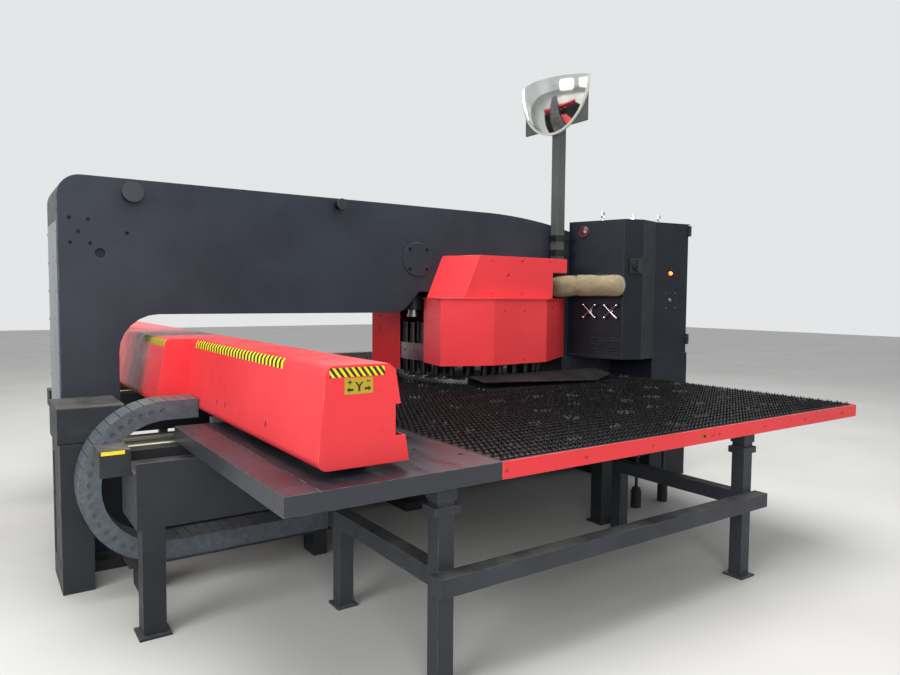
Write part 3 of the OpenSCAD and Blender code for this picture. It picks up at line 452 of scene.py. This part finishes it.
nodeFinish = {
    "frameCharcoal": ["frame", "access_disc", "ram_housing"],
    "baseBlack": [
        "sole_plates", "bed_near", "bed_far", "drive_boxes",
        "gear_cover", "pedestal", "chain_tray", "outrigger",
    ],
    "rampBlack": ["sheet_ramp"],
    "standGrey": ["stand_near", "stand_far"],
    "endSheet": ["frame_end_cover"],
    "cabinetBlue": ["hanging_cabinet", "louver_panel", "tall_cabinet", "cabinet_door"],
    "coverRed": [
        "turret_cover_lower", "turret_cover_upper", "rear_cover",
        "cover_near", "cover_middle", "cover_far", "edge_strips",
    ],
    "slidePlate": ["slide_plate_near", "slide_plate_far"],
    "postOlive": ["mirror_post", "mirror_bracket"],
    "turretSteel": [
        "upper_turret", "lower_turret", "striker", "die_set", "clamp_jaw_a", "clamp_jaw_b",
    ],
    "darkSteel": ["lifting_stubs", "upper_pivot", "lower_pivot", "clamp_slide", "post_clamps"],
    "toolSteel": ["punch_set"],
    "railSteel": ["guide_rails"],
    "beamGrey": ["carriage_beam"],
    "chrome": ["cross_handle_a", "cross_handle_b", "lift_eyes", "cable_gland"],
    "chainNylon": ["cable_carrier"],
    "tableBlack": ["centre_table", "brush_table_near", "brush_table_far"],
    "blackPlastic": ["door_hinges", "switch_base", "switch_handle"],
    "domeAcrylic": ["dome_mirror"],
    "lampAmber": ["power_lamp"],
    "lensRed": ["signal_lens"],
}

for finishName, members in nodeFinish.items():
    for member in members:
        mesh = cadNodes[member].data
        mesh.materials.clear()
        mesh.materials.append(finishes[finishName])
print("finishes put on the frame")


# piece making

def finishPiece(name, mesh, body, *finishNames):
    for finishName in finishNames:
        mesh.materials.append(finishes[finishName])
    piece = bpy.data.objects.new(name, mesh)
    bpy.context.scene.collection.objects.link(piece)
    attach(piece, body)
    return piece


def meshFrom(bm, name, smoothAngle=None):
    mesh = bpy.data.meshes.new(name)
    bm.normal_update()
    bm.to_mesh(mesh)
    bm.free()
    if smoothAngle is not None:
        mesh.shade_smooth()
        mesh.set_sharp_from_angle(angle=math.radians(smoothAngle))
    return mesh


def faceMatrix(place, outward, up=(0, 0, 1)):
    # local Z points out of the face, local Y upwards
    z = Vector(outward).normalized()
    x = Vector(up).cross(z).normalized()
    y = z.cross(x)
    turn = Matrix((x, y, z)).transposed()
    return Matrix.Translation(Vector(place)) @ turn.to_4x4()


def lathe(bm, matrix, profile, count=14, slot=0):
    # profile runs from the rim inwards as (radius, height)
    rings = []
    for radius, height in profile:
        if radius == 0:
            rings.append([bm.verts.new(matrix @ Vector((0, 0, height)))])
            continue
        rings.append([
            bm.verts.new(matrix @ Vector((radius * math.cos(t), radius * math.sin(t), height)))
            for t in (2 * math.pi * i / count for i in range(count))
        ])
    for outer, inner in zip(rings, rings[1:]):
        for i in range(count):
            j = (i + 1) % count
            if len(inner) == 1:
                face = bm.faces.new((outer[i], outer[j], inner[0]))
            else:
                face = bm.faces.new((outer[i], outer[j], inner[j], inner[i]))
            face.material_index = slot


def capScrew(bm, place, outward, radius, slot=0):
    # domed head with a socket
    h = radius * 0.55
    profile = [
        (radius, 0), (radius * 0.98, h * 0.55), (radius * 0.82, h), (radius * 0.46, h),
        (radius * 0.42, h * 0.35), (0, h * 0.3),
    ]
    lathe(bm, faceMatrix(place, outward), profile, 14, slot)


def hexBolt(bm, place, outward, radius, slot=0):
    h = radius * 0.7
    matrix = faceMatrix(place, outward)
    lathe(bm, matrix, [(radius * 1.35, 0), (radius * 1.35, h * 0.18), (radius, h * 0.2)], 20, slot)
    lathe(bm, matrix, [(radius, h * 0.15), (radius, h * 0.9), (radius * 0.86, h), (0, h)], 6, slot)


def slab(bm, matrix, low, high, bevel=0.0, slot=0):
    block = bmesh.new()
    bmesh.ops.create_cube(block, size=1)
    bmesh.ops.scale(block, vec=[high[i] - low[i] for i in range(3)], verts=block.verts)
    bmesh.ops.translate(block, vec=[(high[i] + low[i]) / 2 for i in range(3)], verts=block.verts)
    if bevel:
        bmesh.ops.bevel(block, geom=block.edges[:], offset=bevel, segments=2, affect="EDGES")
    bmesh.ops.transform(block, matrix=matrix, verts=block.verts)
    for face in block.faces:
        face.material_index = slot
    made = bpy.data.meshes.new("slabBlock")
    block.to_mesh(made)
    block.free()
    bm.from_mesh(made)
    bpy.data.meshes.remove(made)


def flatShape(bm, matrix, points, thick, slot=0):
    # a thin plate, open at its back, with the outline in the face's own plane
    low = [bm.verts.new(matrix @ Vector((x, y, 0.0))) for x, y in points]
    high = [bm.verts.new(matrix @ Vector((x, y, thick))) for x, y in points]
    top = bm.faces.new(high)
    top.material_index = slot
    for i in range(len(points)):
        j = (i + 1) % len(points)
        face = bm.faces.new((low[i], low[j], high[j], high[i]))
        face.material_index = slot


def rectangle(width, height):
    return [(0, 0), (width, 0), (width, height), (0, height)]


def uprightFace(x, y, dx, dy):
    # returns a placer for points given along and out of an upright face
    along = Vector((dx, dy, 0)).normalized()
    outward = Vector((along.y, -along.x, 0))

    def place(u, out, z):
        return Vector((x, y, 0)) + along * u + outward * out + Vector((0, 0, z))
    return place, outward


# the upright faces that carry trim: a corner, and the way along

turretFront = (0.457, -0.660, 0.543, 0.030)
turretSide = (0.150, -0.180, -0.070, -0.340)
hangingFront = (1.560, -0.285, 0.160, -0.475)
doorFront = (2.100, -0.756, 0.391, -0.059)
coverEnd = -2.44      # y of the near cover's end face
coverLean = 35 / 375      # how far the carriage covers' sides lean in, for each metre up


# brush tufts on the work tables

tufts = {
    "pitch": 30 * mm,
    "base": 899 * mm,
    "tip": 921.5 * mm,
    "spread": 5.5 * mm,      # how far the blades splay out
    "blades": 6,
    "bladeWidth": 2.0 * mm,
    "rootRadius": 2.2 * mm,
    "lean": 1.6 * mm,
    "uneven": 1.2 * mm,      # how much the tufts differ in height
    "patchEvery": 0.34,      # distance between the patches of tufts with a painted glint on their pale tips
    "patchDrift": 0.07,
    "patchRadius": 0.05,
    "paleShare": 0.6,      # of the tufts in a patch
}


def glintPatches(low, high, dice):
    spots = []
    drift = tufts["patchDrift"]
    x = low[0] + 0.2
    while x < high[0]:
        y = low[1] + 0.15
        while y < high[1]:
            spots.append((x + dice.uniform(-drift, drift), y + dice.uniform(-drift, drift)))
            y += tufts["patchEvery"]
        x += tufts["patchEvery"]
    return spots


def tuftField(name, low, high, body, skip, seed):
    w, rootRadius, patchRadius = tufts["bladeWidth"], tufts["rootRadius"], tufts["patchRadius"]
    dice = random.Random(seed)
    spots = glintPatches(low, high, dice)
    corners, faces, slots = [], [], []
    rows = int((high[1] - low[1]) / tufts["pitch"])
    columns = int((high[0] - low[0]) / tufts["pitch"])
    for row in range(rows + 1):
        y = low[1] + row * tufts["pitch"]
        shift = 0.5 * tufts["pitch"] * (row % 2)
        for column in range(columns + 1):
            x = low[0] + column * tufts["pitch"] + shift
            if x > high[0] or (skip and skip(x, y)):
                continue
            pale = any((x - sx) ** 2 + (y - sy) ** 2 < patchRadius ** 2 for sx, sy in spots)
            # tufts in a patch take the finish with the painted glint on the tips
            slot = 1 if pale and dice.random() < tufts["paleShare"] else 0
            leanX, leanY = dice.gauss(0, tufts["lean"]), dice.gauss(0, tufts["lean"])
            top = tufts["tip"] - abs(dice.gauss(0, tufts["uneven"]))
            for blade in range(tufts["blades"]):
                angle = 2 * math.pi * (blade + dice.random() * 0.6) / tufts["blades"]
                ca, sa = math.cos(angle), math.sin(angle)
                rootX, rootY = x + rootRadius * ca, y + rootRadius * sa
                tipX = x + tufts["spread"] * ca + leanX
                tipY = y + tufts["spread"] * sa + leanY
                k = len(corners)
                corners += [
                    (rootX + w * ca, rootY + w * sa, tufts["base"]),
                    (rootX - w * sa, rootY + w * ca, tufts["base"]),
                    (rootX + w * sa, rootY - w * ca, tufts["base"]),
                    (tipX, tipY, top - dice.random() * 2 * mm),
                ]
                faces += [(k, k + 1, k + 3), (k + 1, k + 2, k + 3), (k + 2, k, k + 3)]
                slots += [slot] * 3
    mesh = bpy.data.meshes.new(name)
    mesh.from_pydata(corners, [], faces)
    mesh.polygons.foreach_set("material_index", slots)
    piece = finishPiece(name, mesh, body, "bristle", "bristleGlint")


bareTable = {
    "disc": (0.73, 0.63),      # x of the turret's centre, radius
    "frame": (0.71, 0.305),      # x from which the frame stands on the table, half its width
    "rampX": (0.22, 1.56),
    "rampY": (-0.94, -0.60),
}


def underTurretOrRamp(x, y):
    centre, radius = bareTable["disc"]
    frameStart, halfFrame = bareTable["frame"]
    (x0, x1), (y0, y1) = bareTable["rampX"], bareTable["rampY"]
    inDisc = (x - centre) ** 2 + y ** 2 < radius ** 2
    inFrame = x > frameStart and abs(y) < halfFrame
    inRamp = x0 < x < x1 and y0 < y < y1
    return inDisc or inFrame or inRamp


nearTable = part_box("brush_table_near")
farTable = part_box("brush_table_far")
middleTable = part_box("centre_table")
for name, table, frontRim, body, skip, seed in (
    ("nearTufts", nearTable, 0.03, "cross_slide", None, 3),
    ("farTufts", farTable, 0.03, "cross_slide", None, 4),
    ("middleTufts", middleTable, 0.02, "base", underTurretOrRamp, 5),
):
    start = (table[0].x + 0.03, table[0].y + frontRim)
    end = (table[1].x - 0.025, table[1].y - 0.02)
    tuftField(name, start, end, body, skip, seed)
print("brush tufts planted")


# screws and fixings

stripScrews = {
    "x": (-0.959, -0.517, -0.077, 0.384, 0.434, 0.846, 1.252, 1.673),
    "face": 2.560,
    "z": 0.864,
    "radius": 8.5 * mm,
    "gaugeAt": 0.31,      # x of the small gold label
}


def makeStripScrews(look):
    for name, side in (("nearStripScrews", -1), ("farStripScrews", 1)):
        bm = bmesh.new()
        for x in look["x"]:
            capScrew(bm, (x, side * look["face"], look["z"]), (0, side, 0), look["radius"])
        finishPiece(name, meshFrom(bm, name, 35), "cross_slide", "screwRed")
    bm = bmesh.new()
    matrix = faceMatrix((look["gaugeAt"], -look["face"], look["z"]), (0, -1, 0))
    slab(bm, matrix, (-17 * mm, -10 * mm, 0), (17 * mm, 10 * mm, 1.2 * mm), 0.5 * mm)
    slab(bm, matrix, (-2 * mm, -6 * mm, 1 * mm), (12 * mm, 6 * mm, 1.6 * mm), 0, 1)
    finishPiece("stripGauge", meshFrom(bm, "stripGauge"), "cross_slide", "goldLabel", "screwBlack")


makeStripScrews(stripScrews)

turretScrews = {
    "upper": ((0.489, 1.827), (0.7785, 1.833), (1.0617, 1.840), (0.4886, 1.580), (0.776, 1.580)),
    "upperFace": 0.590,
    "front": ((0.1076, 1.451), (0.3056, 1.450), (0.3021, 1.084)),
    "side": ((0.25, 1.285), (0.03, 1.18), (0.245, 1.395)),
    "radius": 9 * mm,
}


def makeTurretScrews(look):
    for name, side in (("turretCoverScrews", -1), ("rearCoverScrews", 1)):
        bm = bmesh.new()
        for x, z in look["upper"]:
            capScrew(bm, (x, side * look["upperFace"], z), (0, side, 0), look["radius"])
        for face, marks, share in ((turretFront, "front", 1), (turretSide, "side", 0.8)):
            place, outward = uprightFace(*face)
            facing = (outward.x, -side * outward.y, 0)
            for u, z in look[marks]:
                p = place(u, 0, z)
                capScrew(bm, (p.x, -side * p.y, p.z), facing, look["radius"] * share)
        finishPiece(name, meshFrom(bm, name, 35), "base", "screwRed")


makeTurretScrews(turretScrews)

frameFixings = {
    "plugs": (
        (-2.242, 1.977), (-2.148, 1.972), (-2.199, 1.902),
        (-1.947, 1.906), (-2.240, 1.839), (-2.140, 1.839),
    ),
    "plugRadius": 9 * mm,
    "plugFace": 0.285,
    "discCentre": (0.031, -0.293, 1.829),
    "discReach": 73 * mm,      # from the centre to the bolts, along x and z
    "boltRadius": 9 * mm,
    "sheetRows": 11,
    "sheetRadius": 8 * mm,
}


def makeFrameFixings(look):
    for name, side in (("nearFramePlugs", -1), ("farFramePlugs", 1)):
        bm = bmesh.new()
        for x, z in look["plugs"]:
            capScrew(bm, (x, side * look["plugFace"], z), (0, side, 0), look["plugRadius"])
        finishPiece(name, meshFrom(bm, name, 35), "base", "screwBlack")
    bm = bmesh.new()
    x, y, z = look["discCentre"]
    reach = look["discReach"]
    for dx, dz in ((-1, -1), (1, -1), (1, 1), (-1, 1)):
        hexBolt(bm, (x + dx * reach, y, z + dz * reach), (0, -1, 0), look["boltRadius"])
    finishPiece("discBolts", meshFrom(bm, "discBolts", 35), "base", "screwBlack")
    bm = bmesh.new()
    low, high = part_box("frame_end_cover")
    for row in range(look["sheetRows"]):
        z = low.z + 0.05 + (high.z - low.z - 0.10) * row / (look["sheetRows"] - 1)
        for y in (low.y + 0.02, high.y - 0.02):
            capScrew(bm, (low.x, y, z), (-1, 0, 0), look["sheetRadius"])
    finishPiece("endSheetScrews", meshFrom(bm, "endSheetScrews", 35), "base", "screwZinc")


makeFrameFixings(frameFixings)

coverSlots = {
    "marks": ((-1.201, 1.021), (-1.333, 1.0235), (-1.895, 1.019)),
    "sideFoot": (-1.715, 0.930),      # x and z at the foot of the covers' left side
    "width": 7 * mm,
    "height": 24 * mm,
    "arcSteps": 8,
}


def makeCoverSlots(look):
    # dark slotted holes for the lid's quarter-turn keys
    lean = Vector((-1, 0, coverLean)).normalized()
    footX, footZ = look["sideFoot"]
    steps = look["arcSteps"]
    w, h = look["width"] / 2, look["height"] / 2
    for name, side in (("nearCoverSlots", 1), ("farCoverSlots", -1)):
        bm = bmesh.new()
        for y, z in look["marks"]:
            x = footX + (z - footZ) * coverLean
            matrix = faceMatrix((x, side * y, z), lean)
            outline = []
            for cy, start in ((h - w, 0), (w - h, 180)):
                for i in range(steps + 1):
                    t = math.radians(start + i * 180 / steps)
                    outline.append((w * math.cos(t), cy + w * math.sin(t)))
            flatShape(bm, matrix, outline, 0.6 * mm)
        finishPiece(name, meshFrom(bm, name), "cross_slide", "screwBlack")


makeCoverSlots(coverSlots)
print("screws and slots set")


# hazard tape and the axis plate

tape = {
    "thick": 0.7 * mm,
    "endLow": (-1.668, 1.262),
    "endHigh": (-1.447, 1.296),
    "endStripes": 9,
    "barWidth": 22 * mm,      # of the cross bars along the sides
    "barSlant": 8 * mm,
    "sideDrop": 14 * mm,      # how far the tape runs down the side
    "foldRadius": 35 * mm,
    "foldEnd": 122,      # degrees, where the tape ends on the fold
    "driveLow": (-2.243, -1.290, 0.831),      # strip along the near drive box's top edge
    "driveSize": (0.098, 0.017),
}

foldStrips = {
    "sideTape": {"corner": (-1.680, 1.305), "lean": coverLean, "along": (-2.035, -0.720)},
    "blockTape": {"corner": (-1.816, 1.305), "lean": 62 / 375, "along": (-0.600, -0.010)},
}


def clipBand(x0, x1, y0, y1, start, width, slant):
    # one slanted stripe cut off at the tape's edges
    points = [(start, y0), (start + width, y0), (start + width + slant, y1), (start + slant, y1)]
    for bound, keepMore in ((x0, True), (x1, False)):
        clipped = []
        for i, p in enumerate(points):
            q = points[(i + 1) % len(points)]
            inP = p[0] >= bound if keepMore else p[0] <= bound
            inQ = q[0] >= bound if keepMore else q[0] <= bound
            if inP:
                clipped.append(p)
            if inP != inQ:
                t = (bound - p[0]) / (q[0] - p[0])
                clipped.append((bound, p[1] + t * (q[1] - p[1])))
        points = clipped
        if len(points) < 3:
            return []
    return points


def makeEndTape(look):
    bm = bmesh.new()
    (x0, z0), (x1, z1) = look["endLow"], look["endHigh"]
    matrix = faceMatrix((x0, coverEnd, z0), (0, -1, 0))
    width, height = x1 - x0, z1 - z0
    flatShape(bm, matrix, rectangle(width, height), look["thick"])
    pitch = width / look["endStripes"]
    for i in range(-2, look["endStripes"] + 1):
        start = (i + 0.9) * pitch
        points = clipBand(0, width, 0, height, start, pitch * 0.5, -height * 0.75)
        if points:
            flatShape(bm, matrix, points, look["thick"] * 1.5, 1)
    finishPiece("endTape", meshFrom(bm, "endTape"), "cross_slide", "tapeYellow", "tapeBlack")


def makeFoldTape(name, look, strip):
    # tape laid over the rounded fold, with cross bars
    radius, thick, width = look["foldRadius"], look["thick"], look["barWidth"]
    lean = math.atan(strip["lean"])
    cornerX, cornerZ = strip["corner"]
    centreX = cornerX + radius / math.tan(math.radians(45) + lean / 2)
    centreZ = cornerZ - radius
    arcs = 8
    start, end = math.pi - lean, math.radians(look["foldEnd"])
    section = []
    for i in range(arcs + 1):
        t = start + (end - start) * i / arcs
        section.append((
            centreX + (radius + thick) * math.cos(t),
            centreZ + (radius + thick) * math.sin(t),
        ))
    drop = look["sideDrop"]
    firstX, firstZ = section[0]
    section.insert(0, (firstX - drop * math.sin(lean), firstZ - drop * math.cos(lean)))
    bm = bmesh.new()
    yFrom, yTo = strip["along"]
    for bar in range(int((yTo - yFrom) / width)):
        y0 = yFrom + bar * width
        previous = None
        for i, (x, z) in enumerate(section):
            shift = look["barSlant"] * i / arcs
            pair = [bm.verts.new((x, y + shift, z)) for y in (y0, y0 + width)]
            if previous:
                face = bm.faces.new((previous[0], pair[0], pair[1], previous[1]))
                face.material_index = bar % 2
            previous = pair
    finishPiece(name, meshFrom(bm, name, 60), "cross_slide", "tapeYellow", "tapeBlack")


def makeDriveTape(look):
    bm = bmesh.new()
    matrix = faceMatrix(look["driveLow"], (0, -1, 0))
    flatShape(bm, matrix, rectangle(*look["driveSize"]), look["thick"])
    finishPiece("driveTape", meshFrom(bm, "driveTape"), "base", "tapeYellow")


makeEndTape(tape)
makeDriveTape(tape)
for name, strip in foldStrips.items():
    makeFoldTape(name, tape, strip)

axisPlate = {"low": (-1.610, 1.199), "high": (-1.496, 1.258), "thick": 1 * mm}


def makeAxisPlate(look):
    bm = bmesh.new()
    (x0, z0), (x1, z1) = look["low"], look["high"]
    width, height, t = x1 - x0, z1 - z0, look["thick"]
    matrix = faceMatrix((x0, coverEnd, z0), (0, -1, 0))
    flatShape(bm, matrix, rectangle(width, height), t)

    def mark(*points):
        flatShape(bm, matrix, [(x * width, y * height) for x, y in points], t * 1.35, 1)

    # plus and minus
    mark((0.10, 0.70), (0.26, 0.70), (0.26, 0.77), (0.10, 0.77))
    mark((0.16, 0.60), (0.20, 0.60), (0.20, 0.70), (0.16, 0.70))
    mark((0.16, 0.77), (0.20, 0.77), (0.20, 0.87), (0.16, 0.87))
    mark((0.76, 0.72), (0.90, 0.72), (0.90, 0.79), (0.76, 0.79))
    # axis mark
    mark((0.47, 0.16), (0.54, 0.16), (0.54, 0.46), (0.47, 0.46))
    mark((0.47, 0.46), (0.54, 0.46), (0.42, 0.74), (0.35, 0.74))
    mark((0.49, 0.50), (0.53, 0.44), (0.66, 0.74), (0.59, 0.74))
    # arrows
    mark(
        (0.07, 0.27), (0.17, 0.44), (0.17, 0.34), (0.30, 0.34),
        (0.30, 0.20), (0.17, 0.20), (0.17, 0.10),
    )
    mark(
        (0.93, 0.31), (0.83, 0.48), (0.83, 0.38), (0.70, 0.38),
        (0.70, 0.24), (0.83, 0.24), (0.83, 0.14),
    )
    mesh = meshFrom(bm, "axisPlate")
    finishPiece("axisPlate", mesh, "cross_slide", "plateMustard", "tapeBlack")


makeAxisPlate(axisPlate)
print("tape and axis plate laid")


# padded roll on the hanging cabinet

roll = {
    "radius": 88 * mm,
    "left": (-20, 276, 1638),      # tips and bend: along the face, out from it, height, in mm
    "bend": (122, 90, 1658),
    "right": (544, 90, 1655),
    "dome": 66 * mm,      # length over which the ends round off
    "lumps": 7 * mm,
    "pinches": ((0, 0.13, 0.014), (0.20, 0.05, 0.02)),      # past the bend, depth share, width
    "rest": 2 * mm,      # how close it lies to the cabinet
    "stations": 64,
    "around": 56,
    "fibres": 9000,
    "fibreLength": (5, 9),      # mm
}


def rollRadius(look, s, total):
    blunt = min(1, (min(s, total - s) + 2 * mm) / look["dome"])
    return look["radius"] * math.sqrt(max(0.0, 1 - (1 - blunt) ** 2.3))


def crossAxes(ahead):
    level = Vector((0, 0, 1)).cross(ahead).normalized()
    return level, ahead.cross(level)


def makeRoll(look):
    place, outward = uprightFace(*hangingFront)
    left, bend, right = (
        place(*(part * mm for part in look[key])) for key in ("left", "bend", "right")
    )
    stations = []
    first, second = (bend - left).length, (right - bend).length
    total = first + second
    count, around = look["stations"], look["around"]
    for i in range(count + 1):
        s = total * i / count
        p = left.lerp(bend, s / first) if s < first else bend.lerp(right, (s - first) / second)
        stations.append((s, p))
    # round the elbow
    for _ in range(4):
        stations = [stations[0]] + [
            (stations[i][0], (stations[i - 1][1] + stations[i][1] * 2 + stations[i + 1][1]) / 4)
            for i in range(1, count)
        ] + [stations[-1]]
    bm = bmesh.new()
    rings = []
    for i, (s, p) in enumerate(stations):
        ahead = (stations[min(i + 1, count)][1] - stations[max(i - 1, 0)][1]).normalized()
        level, up = crossAxes(ahead)
        ring = []
        r = rollRadius(look, s, total)
        pinch = sum(
            depth * math.exp(-((s - first - past) / width) ** 2)
            for past, depth, width in look["pinches"]
        )
        for j in range(around):
            t = 2 * math.pi * j / around
            direction = level * math.cos(t) + up * math.sin(t)
            point = p + direction * r * (1 - pinch)
            lump = (noise.noise(point * 16) + noise.noise(point * 60) * 0.35) * look["lumps"]
            ring.append(bm.verts.new(point + direction * (lump - 0.4 * look["lumps"])))
        rings.append(ring)
    for low, high in zip(rings, rings[1:]):
        for j in range(around):
            k = (j + 1) % around
            bm.faces.new((low[j], low[k], high[k], high[j]))
    bm.faces.new(list(reversed(rings[0])))
    bm.faces.new(rings[-1])
    # flat where it rests against the cabinet
    origin = place(0, 0, 0)
    for vert in bm.verts:
        depth = (vert.co - origin).dot(outward)
        if depth < look["rest"]:
            vert.co += outward * (look["rest"] - depth)
    piece = finishPiece("fleeceRoll", meshFrom(bm, "rollCore", 70), "base", "fleece")
    modifier = piece.modifiers.new("soften", "SUBSURF")
    modifier.levels = modifier.render_levels = 1
    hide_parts("bump_pad")
    return stations


def makeRollPile(look, stations):
    # loose fibres standing off the fleece
    dice = random.Random(8)
    place, outward = uprightFace(*hangingFront)
    origin = place(0, 0, 0)
    corners, faces = [], []
    for _ in range(look["fibres"]):
        i = dice.randrange(len(stations) - 1)
        p = stations[i][1].lerp(stations[i + 1][1], dice.random())
        ahead = (stations[i + 1][1] - stations[i][1]).normalized()
        level, up = crossAxes(ahead)
        t = dice.uniform(0, 2 * math.pi)
        direction = level * math.cos(t) + up * math.sin(t)
        r = rollRadius(look, stations[i][0], stations[-1][0]) * 0.98
        root = p + direction * (r - 4 * mm)
        if (root - origin).dot(outward) < 12 * mm:      # none towards the cabinet
            continue
        lean = Vector([dice.gauss(0, 1) for _ in range(3)]).normalized() * 5 * mm
        tip = root + direction * dice.uniform(*look["fibreLength"]) * mm + lean
        sideways = ahead * 0.5 * mm
        k = len(corners)
        corners += [root - sideways, root + sideways, tip]
        faces.append((k, k + 1, k + 2))
    mesh = bpy.data.meshes.new("rollPile")
    mesh.from_pydata(corners, [], faces)
    finishPiece("rollPile", mesh, "base", "fleece")


makeRollPile(roll, makeRoll(roll))
print("padded roll made")


# cabinet trim

cabinetTrim = {
    "lockCentre": (190, 1536),      # along the door and height, in mm
    "lockSize": (118, 146),
    "lockBase": -2.6,      # the plate sits in the recess of the door
    "lockScrewInset": 10,
    "lampKnob": (181, 1812),
    "screws": ((124, 2052), (152, 2052), (476, 1085), (36, 1085), (36, 1725), (476, 1725)),
    "recessTop": 1740,      # the screws below this height sit in the recess
    "recess": -25.3,      # mm out of the face
}


def makeCabinetTrim(look):
    place, outward = uprightFace(*doorFront)
    bm = bmesh.new()
    u0, z0 = look["lockCentre"]
    w, h = look["lockSize"]
    matrix = faceMatrix(place(u0 * mm, look["lockBase"] * mm, z0 * mm), outward)
    halfW, halfH = w / 2 * mm - 1 * mm, h / 2 * mm - 1 * mm
    slab(bm, matrix, (-halfW, -halfH, 0), (halfW, halfH, 4.5 * mm), 1.2 * mm)
    inset = look["lockScrewInset"]
    for dx in (-1, 1):
        for dz in (-1, 1):
            u, z = u0 + dx * (w / 2 - inset), z0 + dz * (h / 2 - inset)
            capScrew(bm, place(u * mm, 1.9 * mm, z * mm), outward, 5 * mm, 1)
    rose = [(17, 0), (17, 5), (14, 8), (6, 8), (5, 4), (0, 4)]
    matrix = faceMatrix(place((u0 - 8) * mm, 1.8 * mm, (z0 + 4) * mm), outward)
    lathe(bm, matrix, [(r * mm, z * mm) for r, z in rose], 28, 1)
    mesh = meshFrom(bm, "doorLock", 35)
    finishPiece("doorLock", mesh, "cabinet_door", "cabinetBlue", "screwZinc")
    bm = bmesh.new()
    u, z = look["lampKnob"]
    knob = [(9, 0), (9, 6), (7, 9), (0, 9.5)]
    matrix = faceMatrix(place(u * mm, 0, z * mm), outward)
    lathe(bm, matrix, [(r * mm, z * mm) for r, z in knob], 20)
    finishPiece("lampKnob", meshFrom(bm, "lampKnob", 35), "cabinet_door", "blackPlastic")
    place, outward = uprightFace(*hangingFront)
    bm = bmesh.new()
    for u, z in look["screws"]:
        out = 0 if z > look["recessTop"] else look["recess"]
        capScrew(bm, place(u * mm, out * mm, z * mm), outward, 6 * mm)
    finishPiece("cabinetScrews", meshFrom(bm, "cabinetScrews", 35), "base", "screwBlack")


makeCabinetTrim(cabinetTrim)
print("cabinet trim fitted")


# floor and light

room = {
    "floorSize": 60,
    "floorColour": "#d9d8d4",
    "floorPatches": "#cfceca",
    "skyColour": "#e9ebed",
    "skyLight": 0.55,
    "skyShown": 0.95,      # brightness of the background itself
}

lamps = {
    "ceilingLight": {"place": (-0.5, -1.5, 6.5), "aim": (0, 0, 0.9), "size": (7, 5), "power": 420},
    "leftWindow": {
        "place": (-7.5, -3.5, 3.2), "aim": (-1.0, -0.5, 1.2), "size": (4, 3), "power": 260,
    },
    "openDoor": {
        "place": (-4.2, -8.6, 3.4), "aim": (-1.0, -2.0, 1.0), "size": (4, 3), "power": 230,
    },
    "rearWindow": {"place": (4.5, 5.5, 5.0), "aim": (0, 0, 1.0), "size": (5, 3), "power": 260},
}


def makeFloor(look):
    mesh = bpy.data.meshes.new("workshopFloor")
    h = look["floorSize"] / 2
    mesh.from_pydata([(-h, -h, 0), (h, -h, 0), (h, h, 0), (-h, h, 0)], [], [(0, 1, 2, 3)])
    material, tree, shader = startFinish("paleFloor")
    cloud = spread(tree, grain(tree, 0.8, 5), 0.3, 0.7)
    tone = blendColour(tree, cloud, linear(look["floorColour"]), linear(look["floorPatches"]))
    tree.links.new(tone, shader.inputs["Base Color"])
    shader.inputs["Roughness"].default_value = 0.6
    mesh.materials.append(material)
    floor = bpy.data.objects.new("workshopFloor", mesh)
    bpy.context.scene.collection.objects.link(floor)


def makeSky(look):
    world = bpy.data.worlds.new("paleSky")
    bpy.context.scene.world = world
    world.use_nodes = True
    tree = world.node_tree
    ground = tree.nodes["Background"]
    ground.inputs["Color"].default_value = linear(look["skyColour"])
    ground.inputs["Strength"].default_value = look["skyLight"]
    seen = addNode(tree, "ShaderNodeBackground")
    seen.inputs["Color"].default_value = linear(look["skyColour"])
    seen.inputs["Strength"].default_value = look["skyShown"]
    rays = addNode(tree, "ShaderNodeLightPath")
    direct = combine(tree, "ADD", rays.outputs["Is Camera Ray"], rays.outputs["Is Glossy Ray"])
    direct = combine(tree, "ADD", direct, rays.outputs["Is Transmission Ray"])
    mix = addNode(tree, "ShaderNodeMixShader")
    tree.links.new(direct, mix.inputs["Fac"])
    tree.links.new(ground.outputs[0], mix.inputs[1])
    tree.links.new(seen.outputs[0], mix.inputs[2])
    tree.links.new(mix.outputs[0], tree.nodes["World Output"].inputs["Surface"])


def makeLamp(name, look):
    data = bpy.data.lights.new(name, "AREA")
    data.shape = "RECTANGLE"
    data.size, data.size_y = look["size"]
    data.energy = look["power"]
    lamp = bpy.data.objects.new(name, data)
    bpy.context.scene.collection.objects.link(lamp)
    place = Vector(look["place"])
    turn = (Vector(look["aim"]) - place).to_track_quat("-Z", "Y").to_matrix().to_4x4()
    lamp.matrix_world = Matrix.Translation(place) @ turn


makeFloor(room)
makeSky(room)
for name, look in lamps.items():
    makeLamp(name, look)
bpy.context.scene.view_settings.view_transform = "Standard"
print("floor and light set")
